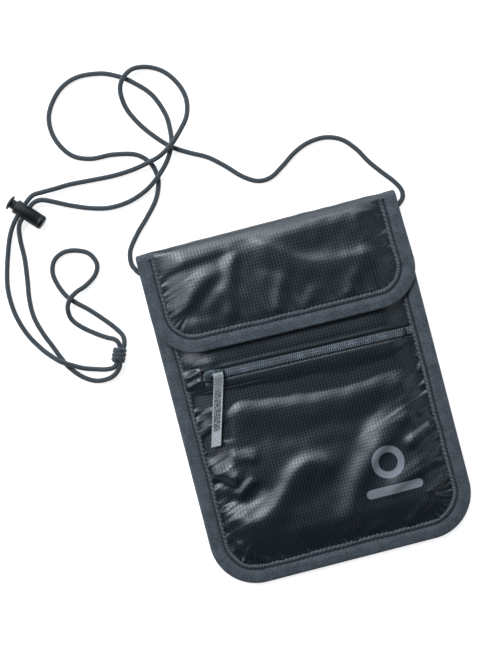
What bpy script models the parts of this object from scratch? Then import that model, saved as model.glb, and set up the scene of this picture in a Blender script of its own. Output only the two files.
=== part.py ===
"""Neck pouch wallet: a flat fabric pouch with a folded-over flap, a zipped front pocket and a neck cord.

The pouch lies on its back. +Z points out of its front, +Y towards the fold, +X to the wearer's left.
The origin is the middle of the pouch's outline, on the surface it lies on. Units are metres.
"""
import math

import bmesh
import bpy
from mathutils import Matrix, Vector

MM = 0.001

# The pouch's outline
HALF_WIDTH = 77.0 * MM
HALF_HEIGHT = 100.0 * MM
CORNER_RADIUS = 27.0 * MM
FLAP_CORNER_RADIUS = 24.0 * MM
FLAP_EDGE_Y = 37.0 * MM
MOUTH_Y = 78.0 * MM
BACK_TOP_Y = 97.6 * MM
BINDING_TOP_Y = 96.6 * MM
FLAP_TOP_Y = 96.4 * MM

# Fabric: thickness, and the gap kept between neighbouring layers
SHEET = 0.4 * MM
GAP = 0.3 * MM
BINDING_WIDTH = 10.4 * MM
BINDING_WALL = 0.4 * MM
SEAM_INSET = 0.8 * MM

# The layers are pressed together at the bound edge, and rise to a level middle
RAMP_START = 10.8 * MM
RAMP_END = 16.0 * MM

# Lower face of each layer: (height at the edge, height in the middle)
BACK_LEVEL = (0.7 * MM, 0.0)
DIVIDER_LEVEL = (1.4 * MM, 4.9 * MM)
ZIP_TAPE_LEVEL = (2.1 * MM, 6.5 * MM)
FRONT_LEVEL = (2.8 * MM, 7.2 * MM)
TAB_LEVEL = (3.5 * MM, 7.9 * MM)
BODY_BINDING_LEVEL = (0.0, 3.9 * MM)
LINING_LEVEL = (4.9 * MM, 9.5 * MM)
FLAP_LEVEL = (5.5 * MM, 10.1 * MM)
FLAP_BINDING_LEVEL = (4.2 * MM, 6.6 * MM)
FLAP_RISE = LINING_LEVEL[1] - LINING_LEVEL[0]

# The fold at the top: two creases with a spine between them
CREASE_Y = 99.1 * MM
LOWER_CREASE_Z = 1.0 * MM
UPPER_CREASE_Z = 10.3 * MM
SPINE_END_GAP = 0.8 * MM
SPINE_BINDING_REACH = 0.9 * MM

# Hook-and-loop closure
PATCH_HALF_WIDTH = 45.0 * MM
PATCH_Y = (49.0 * MM, 67.0 * MM)
PATCH_THICKNESS = 0.5 * MM
LOOP_PATCH_Z = 7.9 * MM
HOOK_PATCH_Z = 8.7 * MM

# The zip: its line crosses the front with a slight slope
ZIP_Y = 21.4 * MM
ZIP_SLOPE = math.radians(-1.5)
ZIP_WINDOW = 3.8 * MM
ZIP_TAPE_REACH = 9.0 * MM
ZIP_HALF_GAP = 0.5 * MM
COIL_WIDTH = 1.8 * MM
COIL_HEIGHT = 1.2 * MM
COIL_ENDS = (-56.4 * MM, 61.0 * MM)
STOP_ENDS = (61.3 * MM, 63.0 * MM)
TAB_ENDS = (-66.2 * MM, -56.8 * MM)
TAB_HALF_HEIGHT = 5.6 * MM
TAB_THICKNESS = 0.8 * MM

# The slider, from its own middle
SLIDER_X = -49.4 * MM
SLIDER_HALF_LENGTH = 5.85 * MM
SLIDER_HALF_WIDTH = 3.4 * MM
LOWER_PLATE_Z = (5.6 * MM, 6.2 * MM)
UPPER_PLATE_Z = (8.7 * MM, 9.3 * MM)
FLANGE_Y = (2.6 * MM, 3.3 * MM)
POST_X = (-4.8 * MM, -2.4 * MM)
POST_HALF_WIDTH = 0.2 * MM
FLANGE_HALF_LENGTH = 4.6 * MM
CROWN_LEGS = ((-2.3 * MM, -1.3 * MM), (4.9 * MM, 5.7 * MM))
CROWN_HALF_WIDTH = 0.7 * MM
BAR_Z = 11.0 * MM
BAR_RADIUS = 0.5 * MM
JOIN = 0.1 * MM

# The puller: a folded tape looped round the slider's bar
PULLER_X = 1.8 * MM
PULLER_HALF_WIDTH = 2.8 * MM
PULLER_LENGTH = 40.0 * MM
PULLER_SKEW = 0.27
PULLER_SKEW_START = 1.5 * MM
PULLER_LIE = 8.0 * MM
PULLER_THICKNESS = 1.1 * MM
PULLER_END_ROUND = 0.5 * MM
EYE_RADIUS = 0.85 * MM
EYE_WALL = 0.5 * MM

# The puller's side view between the bar and where it lies down: (distance from the bar, height)
PULLER_UPPER_BEND = ((1.2 * MM, 12.1 * MM), (3.6 * MM, 10.75 * MM), (7.5 * MM, PULLER_LIE + PULLER_THICKNESS))
PULLER_LOWER_BEND = ((7.0 * MM, PULLER_LIE), (3.8 * MM, 9.62 * MM), (1.3 * MM, 9.9 * MM))

# The cord
CORD_RADIUS = 1.4 * MM
CORD_STEP = 7.3 * MM
CORD_LOW = 1.5
CORD_OVER = 4.7
CORD_TOP = 7.8

# The cord lock, measured along its axis from its button end
LOCK_END = Vector((-136.0, 145.4, 4.6)) * MM
LOCK_ANGLE = math.radians(223.0)
BARREL_RADIUS = 4.2 * MM
BARREL_LENGTH = 19.0 * MM
BORE_RADIUS = 3.1 * MM
BORE_DEPTH = 15.5 * MM
STEM_RADIUS = 2.8 * MM
STEM_DEPTH = 11.0 * MM
HEAD_RADIUS = 4.5 * MM
NECK_LENGTH = 3.0 * MM
HEAD_LENGTH = 1.6 * MM
BARREL_HOLE = (2.6 * MM, 9.2 * MM)
STEM_SLOT = (0.3 * MM, 9.2 * MM)
HOLE_HEIGHT = 3.4 * MM
SPRING_ENDS = (11.4 * MM, 15.1 * MM)
SPRING_RADIUS = 2.2 * MM
SPRING_WIRE = 0.25 * MM
SPRING_TURNS = 3.5

# The knot that joins the cord's two strands
KNOT_MIDDLE = Vector((-99.9, 47.6, 4.5)) * MM
KNOT_ANGLE = math.radians(65.8)
KNOT_HALF_LENGTH = 5.4 * MM
KNOT_RADIUS = 4.3 * MM
KNOT_END_RADIUS = 3.2 * MM

# Cord routes in millimetres: x, y and height of the cord's middle
LEFT_ROUTE = (
    (-78.4, 92.5, 2.0), (-80.1, 97.0, 1.6), (-78.6, 104.5, CORD_LOW), (-72, 113, CORD_LOW),
    (-65, 120, CORD_LOW), (-57.5, 128.5, CORD_LOW), (-53.6, 136.8, CORD_LOW), (-53, 143, CORD_LOW),
    (-55, 150.3, CORD_LOW), (-62, 157, CORD_LOW), (-75, 160.3, CORD_LOW), (-88, 161.2, CORD_LOW),
    (-98.5, 166.5, CORD_LOW), (-105, 178.5, CORD_LOW), (-104.6, 191.5, CORD_LOW), (-96, 203.2, CORD_LOW),
    (-84.5, 208.4, CORD_LOW), (-71, 207.5, CORD_LOW), (-61.5, 203.7, CORD_LOW), (-53.5, 198, CORD_LOW),
    (-44.5, 188.3, CORD_LOW), (-39.6, 175.5, 1.9), (-39.2, 165, 3.6), (-40.6, 157, CORD_OVER),
    (-45.3, 148.7, 4.5), (-52.3, 141.5, CORD_OVER), (-61, 135.6, 3.0), (-72, 131.8, CORD_LOW),
    (-84, 131.1, CORD_LOW), (-95, 133.7, CORD_LOW), (-106, 138.2, 1.8), (-114.5, 142.4, 3.4),
    (-121, 145, 4.5), (-126.2, 144.2, 4.6), (-130.88, 139.92, 4.6), (-136.4, 134.8, 4.6),
    (-138.4, 126.5, 2.6), (-138.8, 115, CORD_LOW), (-140.3, 103, CORD_LOW), (-142, 92, CORD_LOW),
    (-142.1, 81.5, CORD_LOW), (-139.6, 71.5, CORD_LOW), (-135.8, 62, CORD_LOW), (-132.6, 54, CORD_LOW),
    (-129.3, 47.5, CORD_LOW), (-123.5, 40.8, CORD_LOW), (-116.5, 36.6, CORD_LOW), (-109.5, 36, 2.2),
    (-104.6, 37.6, 3.8), (-101.3, 41, 4.5),
)
RIGHT_ROUTE = (
    (78.6, 92.4, 2.0), (80.4, 94.2, 1.8), (81.3, 97.6, CORD_LOW), (80.2, 101.4, CORD_LOW), (77.0, 106.4, CORD_LOW),
    (72.8, 111.6, CORD_LOW), (66.9, 119.5, CORD_LOW), (61.8, 128.3, CORD_LOW), (55, 135.7, CORD_LOW),
    (46, 139.3, CORD_LOW), (36, 138.8, CORD_LOW), (27, 135.3, CORD_LOW), (18, 129.3, CORD_LOW),
    (10, 124.8, CORD_LOW), (2, 124.8, CORD_LOW), (-6, 129.8, CORD_LOW), (-13.5, 137.5, CORD_LOW),
    (-22, 145, CORD_LOW), (-31.5, 150.2, CORD_LOW), (-40.5, 155.8, CORD_LOW), (-48.5, 164, CORD_LOW),
    (-55.5, 173.5, CORD_LOW), (-60.5, 184, 1.8), (-61.4, 194, 3.6), (-58.3, 200.6, CORD_OVER),
    (-51.5, 204.8, 3.8), (-42.5, 204, 1.8), (-34, 198.8, CORD_LOW), (-28, 190, CORD_LOW),
    (-25.8, 180.5, 2.2), (-28, 171, 4.4), (-34, 163.2, 6.6), (-40.7, 156.9, CORD_TOP),
    (-48.5, 152.3, 6.6), (-56.4, 150.3, 4.9), (-66, 148.8, 3.0), (-78, 148.4, CORD_LOW),
    (-92, 149.2, CORD_LOW), (-103, 149.8, 2.0), (-112, 149.4, 3.4), (-119, 149.2, 4.4),
    (-124.6, 148.9, 4.6), (-129, 146.2, 4.6), (-133.03, 142.22, 4.6), (-138.5, 137.1, 4.6),
    (-143.6, 129.5, 2.8), (-148.6, 116.5, CORD_LOW), (-152, 104, CORD_LOW), (-152.8, 94, CORD_LOW),
    (-151.6, 83, CORD_LOW), (-148, 72, CORD_LOW), (-142.5, 62.6, 2.0), (-137.5, 56.5, 3.8),
    (-133, 52.2, CORD_OVER), (-128, 49, 3.8), (-121.5, 45.4, 2.0), (-114.5, 43, CORD_LOW),
    (-109.3, 41.6, 3.2), (-104.7, 41.5, 4.5),
)
LOOP_ROUTE = (
    (-95.4, 52.8, 4.5), (-95, 57.6, 3.2), (-98.3, 63.4, 1.8), (-104, 70.4, CORD_LOW),
    (-110.5, 77.5, CORD_LOW), (-117, 83.5, CORD_LOW), (-121.3, 88.8, CORD_LOW), (-124.4, 96.5, CORD_LOW),
    (-125.2, 103.5, CORD_LOW), (-122.4, 109.8, CORD_LOW), (-116, 112.9, CORD_LOW), (-108.6, 112, CORD_LOW),
    (-102, 108.3, CORD_LOW), (-99.3, 101.5, CORD_LOW), (-102, 95.7, CORD_LOW), (-108.5, 91.2, 2.2),
    (-114.6, 88.8, 4.0), (-119.2, 85.6, CORD_OVER), (-121.8, 81, 4.0), (-121.6, 75, 2.0),
    (-117.6, 69.4, CORD_LOW), (-111, 63.8, CORD_LOW), (-104.6, 59.4, 2.8), (-100.4, 57.2, 4.1),
    (-98.6, 55, 4.5),
)

# Colours (linear RGB) and roughness
RIPSTOP = ((0.022, 0.028, 0.036), 0.42)
LINING = ((0.030, 0.033, 0.038), 0.6)
BINDING = ((0.060, 0.066, 0.078), 0.8)
ZIP = ((0.035, 0.040, 0.046), 0.5)
METAL = ((0.10, 0.11, 0.12), 0.35)
PULLER = ((0.36, 0.38, 0.41), 0.75)
CORD = ((0.085, 0.100, 0.115), 0.75)
PLASTIC = ((0.006, 0.007, 0.008), 0.45)
STEEL = ((0.55, 0.56, 0.58), 0.3)
HOOK = ((0.012, 0.013, 0.015), 0.9)


def clear_scene():
    for obj in list(bpy.data.objects):
        bpy.data.objects.remove(obj, do_unlink=True)


def make_collection(name):
    collection = bpy.data.collections.new(name)
    bpy.context.scene.collection.children.link(collection)
    return collection


def make_material(name, look, metallic=0.0):
    colour, roughness = look
    material = bpy.data.materials.new(name)
    material.use_nodes = True
    shader = material.node_tree.nodes["Principled BSDF"]
    shader.inputs["Base Color"].default_value = (*colour, 1.0)
    shader.inputs["Roughness"].default_value = roughness
    shader.inputs["Metallic"].default_value = metallic
    material.diffuse_color = (*colour, 1.0)
    return material


def add_object(name, mesh, look, metallic=0.0, parent=None):
    """Put a mesh into the scene as a node of the pouch, on its joint's empty if it has one."""
    obj = bpy.data.objects.new(name, mesh)
    PARTS.objects.link(obj)
    mesh.materials.clear()
    mesh.materials.append(make_material(name, look, metallic))
    set_parent(obj, parent)
    return obj


def set_parent(obj, parent):
    if parent is not None:
        obj.parent = parent
        obj.matrix_parent_inverse = parent.matrix_world.inverted()


def add_axis(name, location):
    """An empty on a joint's axis."""
    axis = bpy.data.objects.new(name, None)
    axis.empty_display_size = 5 * MM
    axis.location = location
    PARTS.objects.link(axis)
    bpy.context.view_layer.update()
    return axis


def mesh_from(bm, name):
    bmesh.ops.recalc_face_normals(bm, faces=bm.faces)
    mesh = bpy.data.meshes.new(name)
    bm.to_mesh(mesh)
    bm.free()
    return mesh


def zip_point(along, across, height=0.0):
    """A place on the front, from its distance along and across the zip's line."""
    point = Matrix.Rotation(ZIP_SLOPE, 4, "Z") @ Vector((along, across, 0))
    return Vector((point.x, point.y + ZIP_Y, height))


def edge_distance(x, y):
    """How far a point is inside the pouch's outline. The top side isn't an edge: it is the fold."""
    side = HALF_WIDTH - abs(x)
    bottom = y + HALF_HEIGHT
    if side < CORNER_RADIUS and bottom < CORNER_RADIUS:
        return CORNER_RADIUS - math.hypot(CORNER_RADIUS - side, CORNER_RADIUS - bottom)
    return min(side, bottom)


def lift(x, y):
    """0 at the bound edge, 1 in the level middle, and a straight ramp between."""
    share = (edge_distance(x, y) - RAMP_START) / (RAMP_END - RAMP_START)
    return min(1.0, max(0.0, share))


def cut(bm, point, normal, keep_below=False):
    """Cut every face along a plane, and drop what lies past it if asked."""
    geometry = bm.verts[:] + bm.edges[:] + bm.faces[:]
    bmesh.ops.bisect_plane(bm, geom=geometry, plane_co=point, plane_no=normal, clear_outer=keep_below)


def cut_at_ramps(bm):
    """Edges where the side ramps begin and end, so that a draped piece bends there."""
    for distance in (RAMP_START, RAMP_END):
        for side in (-1, 1):
            cut(bm, (side * (HALF_WIDTH - distance), 0, 0), (1, 0, 0))


def drape(bm, rise):
    """Lift each point by the layer's rise at that place."""
    for vert in bm.verts:
        vert.co.z += rise * lift(vert.co.x, vert.co.y)


def outline(half_width, low_y, high_y, radius, steps=9):
    """Closed outline with round lower corners and a straight top."""
    points = [(-half_width, high_y)]
    for side, start in ((-1, math.pi), (1, 1.5 * math.pi)):
        for step in range(steps + 1):
            angle = start + 0.5 * math.pi * step / steps
            x = side * (half_width - radius) + radius * math.cos(angle)
            y = low_y + radius + radius * math.sin(angle)
            points.append((x, y))
    points.append((half_width, high_y))
    return points


def flat_face(points, height):
    bm = bmesh.new()
    verts = [bm.verts.new((x, y, height)) for x, y in points]
    return bm, bm.faces.new(verts)


def inset(bm, face, distance):
    bm.normal_update()
    bmesh.ops.inset_region(
        bm, faces=[face], thickness=distance, depth=0, use_boundary=True, use_even_offset=True
    )


def add_solidify(obj, thickness, offset):
    solid = obj.modifiers.new("thickness", "SOLIDIFY")
    solid.thickness = thickness
    solid.offset = offset
    solid.use_even_offset = True


def body_sheet(name, level, look, cuts):
    """A sheet that fills the pouch's outline, then is cut to length. Each cut is (point, normal)."""
    far_y = HALF_HEIGHT + 2 * CORNER_RADIUS
    points = outline(
        HALF_WIDTH - SEAM_INSET, SEAM_INSET - HALF_HEIGHT, far_y, CORNER_RADIUS - SEAM_INSET
    )
    bm, face = flat_face(points, level[0])
    inset(bm, face, RAMP_START - SEAM_INSET)
    inset(bm, face, RAMP_END - RAMP_START)
    for point, normal in cuts:
        cut(bm, point, normal, keep_below=True)
    drape(bm, level[1] - level[0])
    obj = add_object(name, mesh_from(bm, name), look)
    face_up(obj)
    add_solidify(obj, SHEET, 1)
    return obj


def face_up(obj):
    """Turn an open sheet's faces up, so that its thickness is added on top."""
    if sum(polygon.normal.z for polygon in obj.data.polygons) < 0:
        obj.data.flip_normals()


def flap_sheet(name, level, look, parent):
    points = outline(
        HALF_WIDTH - SEAM_INSET, FLAP_EDGE_Y + SEAM_INSET, FLAP_TOP_Y, FLAP_CORNER_RADIUS - SEAM_INSET
    )
    bm, _face = flat_face(points, level[0])
    cut_at_ramps(bm)
    drape(bm, level[1] - level[0])
    obj = add_object(name, mesh_from(bm, name), look, parent=parent)
    face_up(obj)
    add_solidify(obj, SHEET, 1)
    return obj


def folded_tape(name, low_y, top_y, radius, level, rise, parent=None):
    """The binding: a tape folded over the edge, as an upper and a lower leaf joined round the outside."""
    half_wall = BINDING_WALL / 2
    points = outline(HALF_WIDTH - half_wall, low_y + half_wall, top_y + HALF_HEIGHT, radius - half_wall)
    bm = bmesh.new()
    leaves = []
    for height in (level[0] + half_wall, level[1] - half_wall):
        verts = [bm.verts.new((x, y, height)) for x, y in points]
        leaves.append(bm.faces.new(verts))
    rims = [edge for leaf in leaves for edge in leaf.edges]
    bmesh.ops.bridge_loops(bm, edges=rims)
    for leaf in leaves:
        inset(bm, leaf, BINDING_WIDTH - BINDING_WALL)
    bmesh.ops.delete(bm, geom=leaves, context="FACES")
    cut(bm, (0, top_y, 0), (0, 1, 0), keep_below=True)
    if rise:
        cut_at_ramps(bm)
        drape(bm, rise)
    obj = add_object(name, mesh_from(bm, name), BINDING, parent=parent)
    add_solidify(obj, BINDING_WALL, 0)
    return obj


def block(x_range, y_range, z_range, on_zip=False):
    """A box between limits. on_zip measures x and y along and across the zip."""
    bm = bmesh.new()
    bmesh.ops.create_cube(bm, size=1.0)
    limits = (x_range, y_range, z_range)
    for vert in bm.verts:
        for axis, (low, high) in enumerate(limits):
            vert.co[axis] = low if vert.co[axis] < 0 else high
        if on_zip:
            vert.co = zip_point(vert.co.x, vert.co.y, vert.co.z)
    return bm


def draped_block(name, x_range, y_range, level, thickness, look, on_zip=False, metallic=0.0):
    bm = block(x_range, y_range, (level[0], level[0] + thickness), on_zip)
    cut_at_ramps(bm)
    drape(bm, level[1] - level[0])
    return add_object(name, mesh_from(bm, name), look, metallic)


def turned(name, profile, look, matrix, metallic=0.0, parent=None, steps=20):
    """A turned piece: a profile of (radius, height) points turned about the height axis."""
    mesh = bpy.data.meshes.new(name)
    verts = [(radius, 0, height) for radius, height in profile]
    edges = [(i, i + 1) for i in range(len(verts) - 1)]
    mesh.from_pydata(verts, edges, [])
    obj = add_object(name, mesh, look, metallic)
    screw = obj.modifiers.new("turn", "SCREW")
    screw.axis = "Z"
    screw.steps = steps
    screw.render_steps = steps
    screw.use_merge_vertices = True
    screw.merge_threshold = 0.00001
    screw.use_smooth_shade = True
    solid = applied(obj, matrix)
    set_parent(solid, parent)
    return solid


def applied(obj, matrix):
    """Bake an object's modifiers, or its curve, into a mesh, and set it in place."""
    depsgraph = bpy.context.evaluated_depsgraph_get()
    mesh = bpy.data.meshes.new_from_object(obj.evaluated_get(depsgraph))
    bm = bmesh.new()
    bm.from_mesh(mesh)
    bmesh.ops.remove_doubles(bm, verts=bm.verts, dist=0.00001)
    bmesh.ops.transform(bm, matrix=matrix, verts=bm.verts)
    bmesh.ops.recalc_face_normals(bm, faces=bm.faces)
    bm.to_mesh(mesh)
    bm.free()
    name = obj.name
    materials = list(obj.data.materials)
    bpy.data.objects.remove(obj, do_unlink=True)
    solid = bpy.data.objects.new(name, mesh)
    PARTS.objects.link(solid)
    mesh.materials.clear()
    for material in materials:
        mesh.materials.append(material)
    return solid


def combine(target, tool_bm, operation, tool_name):
    """Join a solid to another, or cut it away, and keep the tool as a hidden guide."""
    mesh = mesh_from(tool_bm, tool_name)
    tool = bpy.data.objects.new(tool_name, mesh)
    CUTTERS.objects.link(tool)
    tool.hide_render = True
    tool.display_type = "WIRE"
    modifier = target.modifiers.new(tool_name, "BOOLEAN")
    modifier.operation = operation
    modifier.solver = "EXACT"
    modifier.object = tool


def smooth_points(route, step):
    """Evenly spaced points on a smooth curve through a route given in millimetres."""
    knots = [Vector(point) * MM for point in route]
    ends = [2 * knots[0] - knots[1]] + knots + [2 * knots[-1] - knots[-2]]
    fine = []
    for index in range(1, len(ends) - 2):
        before, start, end, after = ends[index - 1 : index + 3]
        for part in range(16):
            fine.append(catmull_rom(before, start, end, after, part / 16))
    fine.append(knots[-1])
    lengths = [0.0]
    for first, second in zip(fine, fine[1:]):
        lengths.append(lengths[-1] + (second - first).length)
    count = max(2, round(lengths[-1] / step))
    return [point_at(fine, lengths, lengths[-1] * i / count) for i in range(count + 1)]


def catmull_rom(before, start, end, after, t):
    return 0.5 * (
        2 * start
        + (end - before) * t
        + (2 * before - 5 * start + 4 * end - after) * t**2
        + (3 * start - before - 3 * end + after) * t**3
    )


def point_at(points, lengths, distance):
    for index in range(1, len(points)):
        if lengths[index] >= distance:
            span = lengths[index] - lengths[index - 1]
            share = (distance - lengths[index - 1]) / span
            return points[index - 1].lerp(points[index], share)
    return points[-1]


def tube(name, points, radius, look, metallic=0.0, parent=None, resolution=2):
    """A round wire or cord along a list of points."""
    curve = bpy.data.curves.new(name, "CURVE")
    curve.dimensions = "3D"
    curve.bevel_depth = radius
    curve.bevel_resolution = resolution
    curve.use_fill_caps = True
    spline = curve.splines.new("POLY")
    spline.points.add(len(points) - 1)
    for spline_point, point in zip(spline.points, points):
        spline_point.co = (*point, 1.0)
    obj = add_object(name, curve, look, metallic)
    solid = applied(obj, Matrix.Identity(4))
    set_parent(solid, parent)
    return solid


def build_body():
    zip_normal = zip_point(0, 1) - zip_point(0, 0)
    body_sheet("back_panel", BACK_LEVEL, LINING, [((0, BACK_TOP_Y, 0), (0, 1, 0))])
    body_sheet("divider_panel", DIVIDER_LEVEL, LINING, [((0, MOUTH_Y, 0), (0, 1, 0))])
    body_sheet("front_panel", FRONT_LEVEL, RIPSTOP, [(zip_point(0, -ZIP_WINDOW), zip_normal)])
    upper_cuts = [((0, MOUTH_Y, 0), (0, 1, 0)), (zip_point(0, ZIP_WINDOW), -zip_normal)]
    body_sheet("upper_front_strip", FRONT_LEVEL, RIPSTOP, upper_cuts)
    folded_tape("body_binding", -HALF_HEIGHT, BINDING_TOP_Y, CORNER_RADIUS, BODY_BINDING_LEVEL, 0)
    build_mouth_hem()
    patch_x = (-PATCH_HALF_WIDTH, PATCH_HALF_WIDTH)
    loop = block(patch_x, PATCH_Y, (LOOP_PATCH_Z, LOOP_PATCH_Z + PATCH_THICKNESS))
    add_object("loop_patch", mesh_from(loop, "loop_patch"), HOOK)


def build_mouth_hem():
    """A folded hem that joins the divider and the front at the compartment's mouth."""
    half_length = HALF_WIDTH - SEAM_INSET
    top_level = tuple(height + SHEET for height in FRONT_LEVEL)
    bm = block((-half_length, half_length), (MOUTH_Y + GAP, MOUTH_Y + 2 * MM), (0, 1))
    cut_at_ramps(bm)
    for vert in bm.verts:
        level = top_level if vert.co.z > 0.5 else DIVIDER_LEVEL
        vert.co.z = level[0] + (level[1] - level[0]) * lift(vert.co.x, vert.co.y)
    add_object("mouth_hem", mesh_from(bm, "mouth_hem"), RIPSTOP)


def build_zip():
    tape_x = (-HALF_WIDTH + 1.6 * MM, HALF_WIDTH - 1.6 * MM)
    coil_level = tuple(height + SHEET + GAP for height in ZIP_TAPE_LEVEL)
    for name, side in (("lower", -1), ("upper", 1)):
        tape_y = sorted((side * ZIP_HALF_GAP, side * ZIP_TAPE_REACH))
        coil_y = sorted((side * ZIP_HALF_GAP, side * (ZIP_HALF_GAP + COIL_WIDTH)))
        draped_block(f"{name}_zip_tape", tape_x, tape_y, ZIP_TAPE_LEVEL, SHEET, ZIP, True)
        draped_block(f"{name}_zip_coil", COIL_ENDS, coil_y, coil_level, COIL_HEIGHT, ZIP, True)
    stop_reach = ZIP_HALF_GAP + COIL_WIDTH
    draped_block("zip_stop", STOP_ENDS, (-stop_reach, stop_reach), coil_level, COIL_HEIGHT, METAL, True, 1.0)
    tab_y = (-TAB_HALF_HEIGHT, TAB_HALF_HEIGHT)
    draped_block("zip_end_tab", TAB_ENDS, tab_y, TAB_LEVEL, TAB_THICKNESS, RIPSTOP, True)


def build_slider(axis):
    """Two plates joined by a post between the tapes, with side flanges and a crown for the puller."""
    def on_slider(x_range, y_range, z_range):
        shifted = tuple(SLIDER_X + value for value in x_range)
        return block(shifted, y_range, z_range, True)

    length = (-SLIDER_HALF_LENGTH, SLIDER_HALF_LENGTH)
    width = (-SLIDER_HALF_WIDTH, SLIDER_HALF_WIDTH)
    lower = on_slider(length, width, LOWER_PLATE_Z)
    slider = add_object("slider_body", mesh_from(lower, "slider_body"), METAL, 1.0, axis)
    post_z = (LOWER_PLATE_Z[1] - JOIN, UPPER_PLATE_Z[0] + JOIN)
    post = on_slider(POST_X, (-POST_HALF_WIDTH, POST_HALF_WIDTH), post_z)
    combine(slider, post, "UNION", "slider_post")
    combine(slider, on_slider(length, width, UPPER_PLATE_Z), "UNION", "slider_top")
    flange_x = (-FLANGE_HALF_LENGTH, FLANGE_HALF_LENGTH)
    flange_z = (ZIP_TAPE_LEVEL[1] + SHEET + GAP, UPPER_PLATE_Z[0] + JOIN)
    for side, name in ((-1, "slider_flange_low"), (1, "slider_flange_high")):
        flange_y = sorted(side * value for value in FLANGE_Y)
        combine(slider, on_slider(flange_x, flange_y, flange_z), "UNION", name)
    leg_y = (-CROWN_HALF_WIDTH, CROWN_HALF_WIDTH)
    leg_z = (UPPER_PLATE_Z[1] - JOIN, BAR_Z + BAR_RADIUS / 2)
    for index, leg in enumerate(CROWN_LEGS):
        combine(slider, on_slider(leg, leg_y, leg_z), "UNION", f"crown_leg_{index}")
    bar = bmesh.new()
    bar_length = CROWN_LEGS[1][1] - CROWN_LEGS[0][0] - 2 * JOIN
    bmesh.ops.create_cone(
        bar, cap_ends=True, segments=14, radius1=BAR_RADIUS, radius2=BAR_RADIUS, depth=bar_length
    )
    middle = zip_point(SLIDER_X + (CROWN_LEGS[1][1] + CROWN_LEGS[0][0]) / 2, 0, BAR_Z)
    turn = Matrix.Rotation(ZIP_SLOPE, 4, "Z") @ Matrix.Rotation(math.pi / 2, 4, "Y")
    bmesh.ops.transform(bar, matrix=Matrix.Translation(middle) @ turn, verts=bar.verts)
    combine(slider, bar, "UNION", "crown_bar")


def puller_outline():
    """Side view of the folded tape: (distance from the bar, height), round the eye and down to its end."""
    eye = EYE_RADIUS + EYE_WALL
    near_end = PULLER_LENGTH - PULLER_END_ROUND
    end = (
        (near_end, PULLER_LIE + PULLER_THICKNESS),
        (PULLER_LENGTH, PULLER_LIE + PULLER_THICKNESS / 2),
        (near_end, PULLER_LIE),
    )
    points = [*PULLER_UPPER_BEND, *end, *PULLER_LOWER_BEND]
    for step in range(1, 11):
        angle = math.radians(-60 - 22 * step)
        points.append((eye * math.cos(angle), BAR_Z + eye * math.sin(angle)))
    return points


def build_puller(axis):
    curve = bpy.data.curves.new("puller_tape", "CURVE")
    curve.dimensions = "2D"
    curve.fill_mode = "BOTH"
    curve.extrude = PULLER_HALF_WIDTH
    circle = [math.radians(30 * step) for step in range(12)]
    eye = [(EYE_RADIUS * math.cos(a), BAR_Z + EYE_RADIUS * math.sin(a)) for a in circle]
    for points in (puller_outline(), eye):
        spline = curve.splines.new("POLY")
        spline.points.add(len(points) - 1)
        spline.use_cyclic_u = True
        for spline_point, (out, up) in zip(spline.points, points):
            spline_point.co = (out, up, 0, 1)
    obj = add_object("puller_tape", curve, PULLER)
    stand = Matrix(((0, 0, -1, 0), (-1, 0, 0, 0), (0, 1, 0, 0), (0, 0, 0, 1)))
    puller = applied(obj, stand)
    for vert in puller.data.vertices:
        out = -vert.co.y
        skewed = vert.co.x - PULLER_SKEW * max(0.0, out - PULLER_SKEW_START)
        vert.co = zip_point(SLIDER_X + PULLER_X + skewed, -out, vert.co.z)
    set_parent(puller, axis)


def build_spine(axis):
    """The fold's upright strip between the two creases, with the binding's ends round its sides."""
    low = LOWER_CREASE_Z + SPINE_END_GAP
    high = UPPER_CREASE_Z - SPINE_END_GAP
    half = SHEET / 2
    half_length = HALF_WIDTH - SEAM_INSET
    strip = block((-half_length, half_length), (CREASE_Y - half, CREASE_Y + half), (low, high))
    add_object("flap_spine", mesh_from(strip, "flap_spine"), RIPSTOP, parent=axis)
    mid = SPINE_BINDING_REACH - BINDING_WALL / 2
    near, far = CREASE_Y - mid, CREASE_Y + mid
    for name, side in (("spine_binding_left", -1), ("spine_binding_right", 1)):
        outer = side * (HALF_WIDTH - BINDING_WALL / 2)
        inner = side * (HALF_WIDTH - BINDING_WIDTH)
        path = [(inner, near), (outer, near), (outer, far), (inner, far)]
        bm = bmesh.new()
        verts = [bm.verts.new((x, y, low)) for x, y in path]
        edges = [bm.edges.new(pair) for pair in zip(verts, verts[1:])]
        raised = bmesh.ops.extrude_edge_only(bm, edges=edges)["geom"]
        tops = [item for item in raised if isinstance(item, bmesh.types.BMVert)]
        bmesh.ops.translate(bm, verts=tops, vec=(0, 0, high - low))
        tape = add_object(name, mesh_from(bm, name), BINDING, parent=axis)
        add_solidify(tape, BINDING_WALL, 0)


def build_flap(axis):
    flap_sheet("flap_lining", LINING_LEVEL, LINING, axis)
    flap_sheet("flap_outer", FLAP_LEVEL, RIPSTOP, axis)
    folded_tape(
        "flap_binding", FLAP_EDGE_Y, FLAP_TOP_Y, FLAP_CORNER_RADIUS, FLAP_BINDING_LEVEL, FLAP_RISE, axis
    )
    patch_x = (-PATCH_HALF_WIDTH, PATCH_HALF_WIDTH)
    hook = block(patch_x, PATCH_Y, (HOOK_PATCH_Z, HOOK_PATCH_Z + PATCH_THICKNESS))
    add_object("hook_patch", mesh_from(hook, "hook_patch"), HOOK, parent=axis)


def lock_matrix():
    """The lock's frame: local +Z leaves by the button, local X runs along the cord."""
    turn = Matrix.Rotation(LOCK_ANGLE, 4, "Z") @ Matrix.Rotation(math.pi / 2, 4, "X")
    return Matrix.Translation(LOCK_END) @ turn


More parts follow.
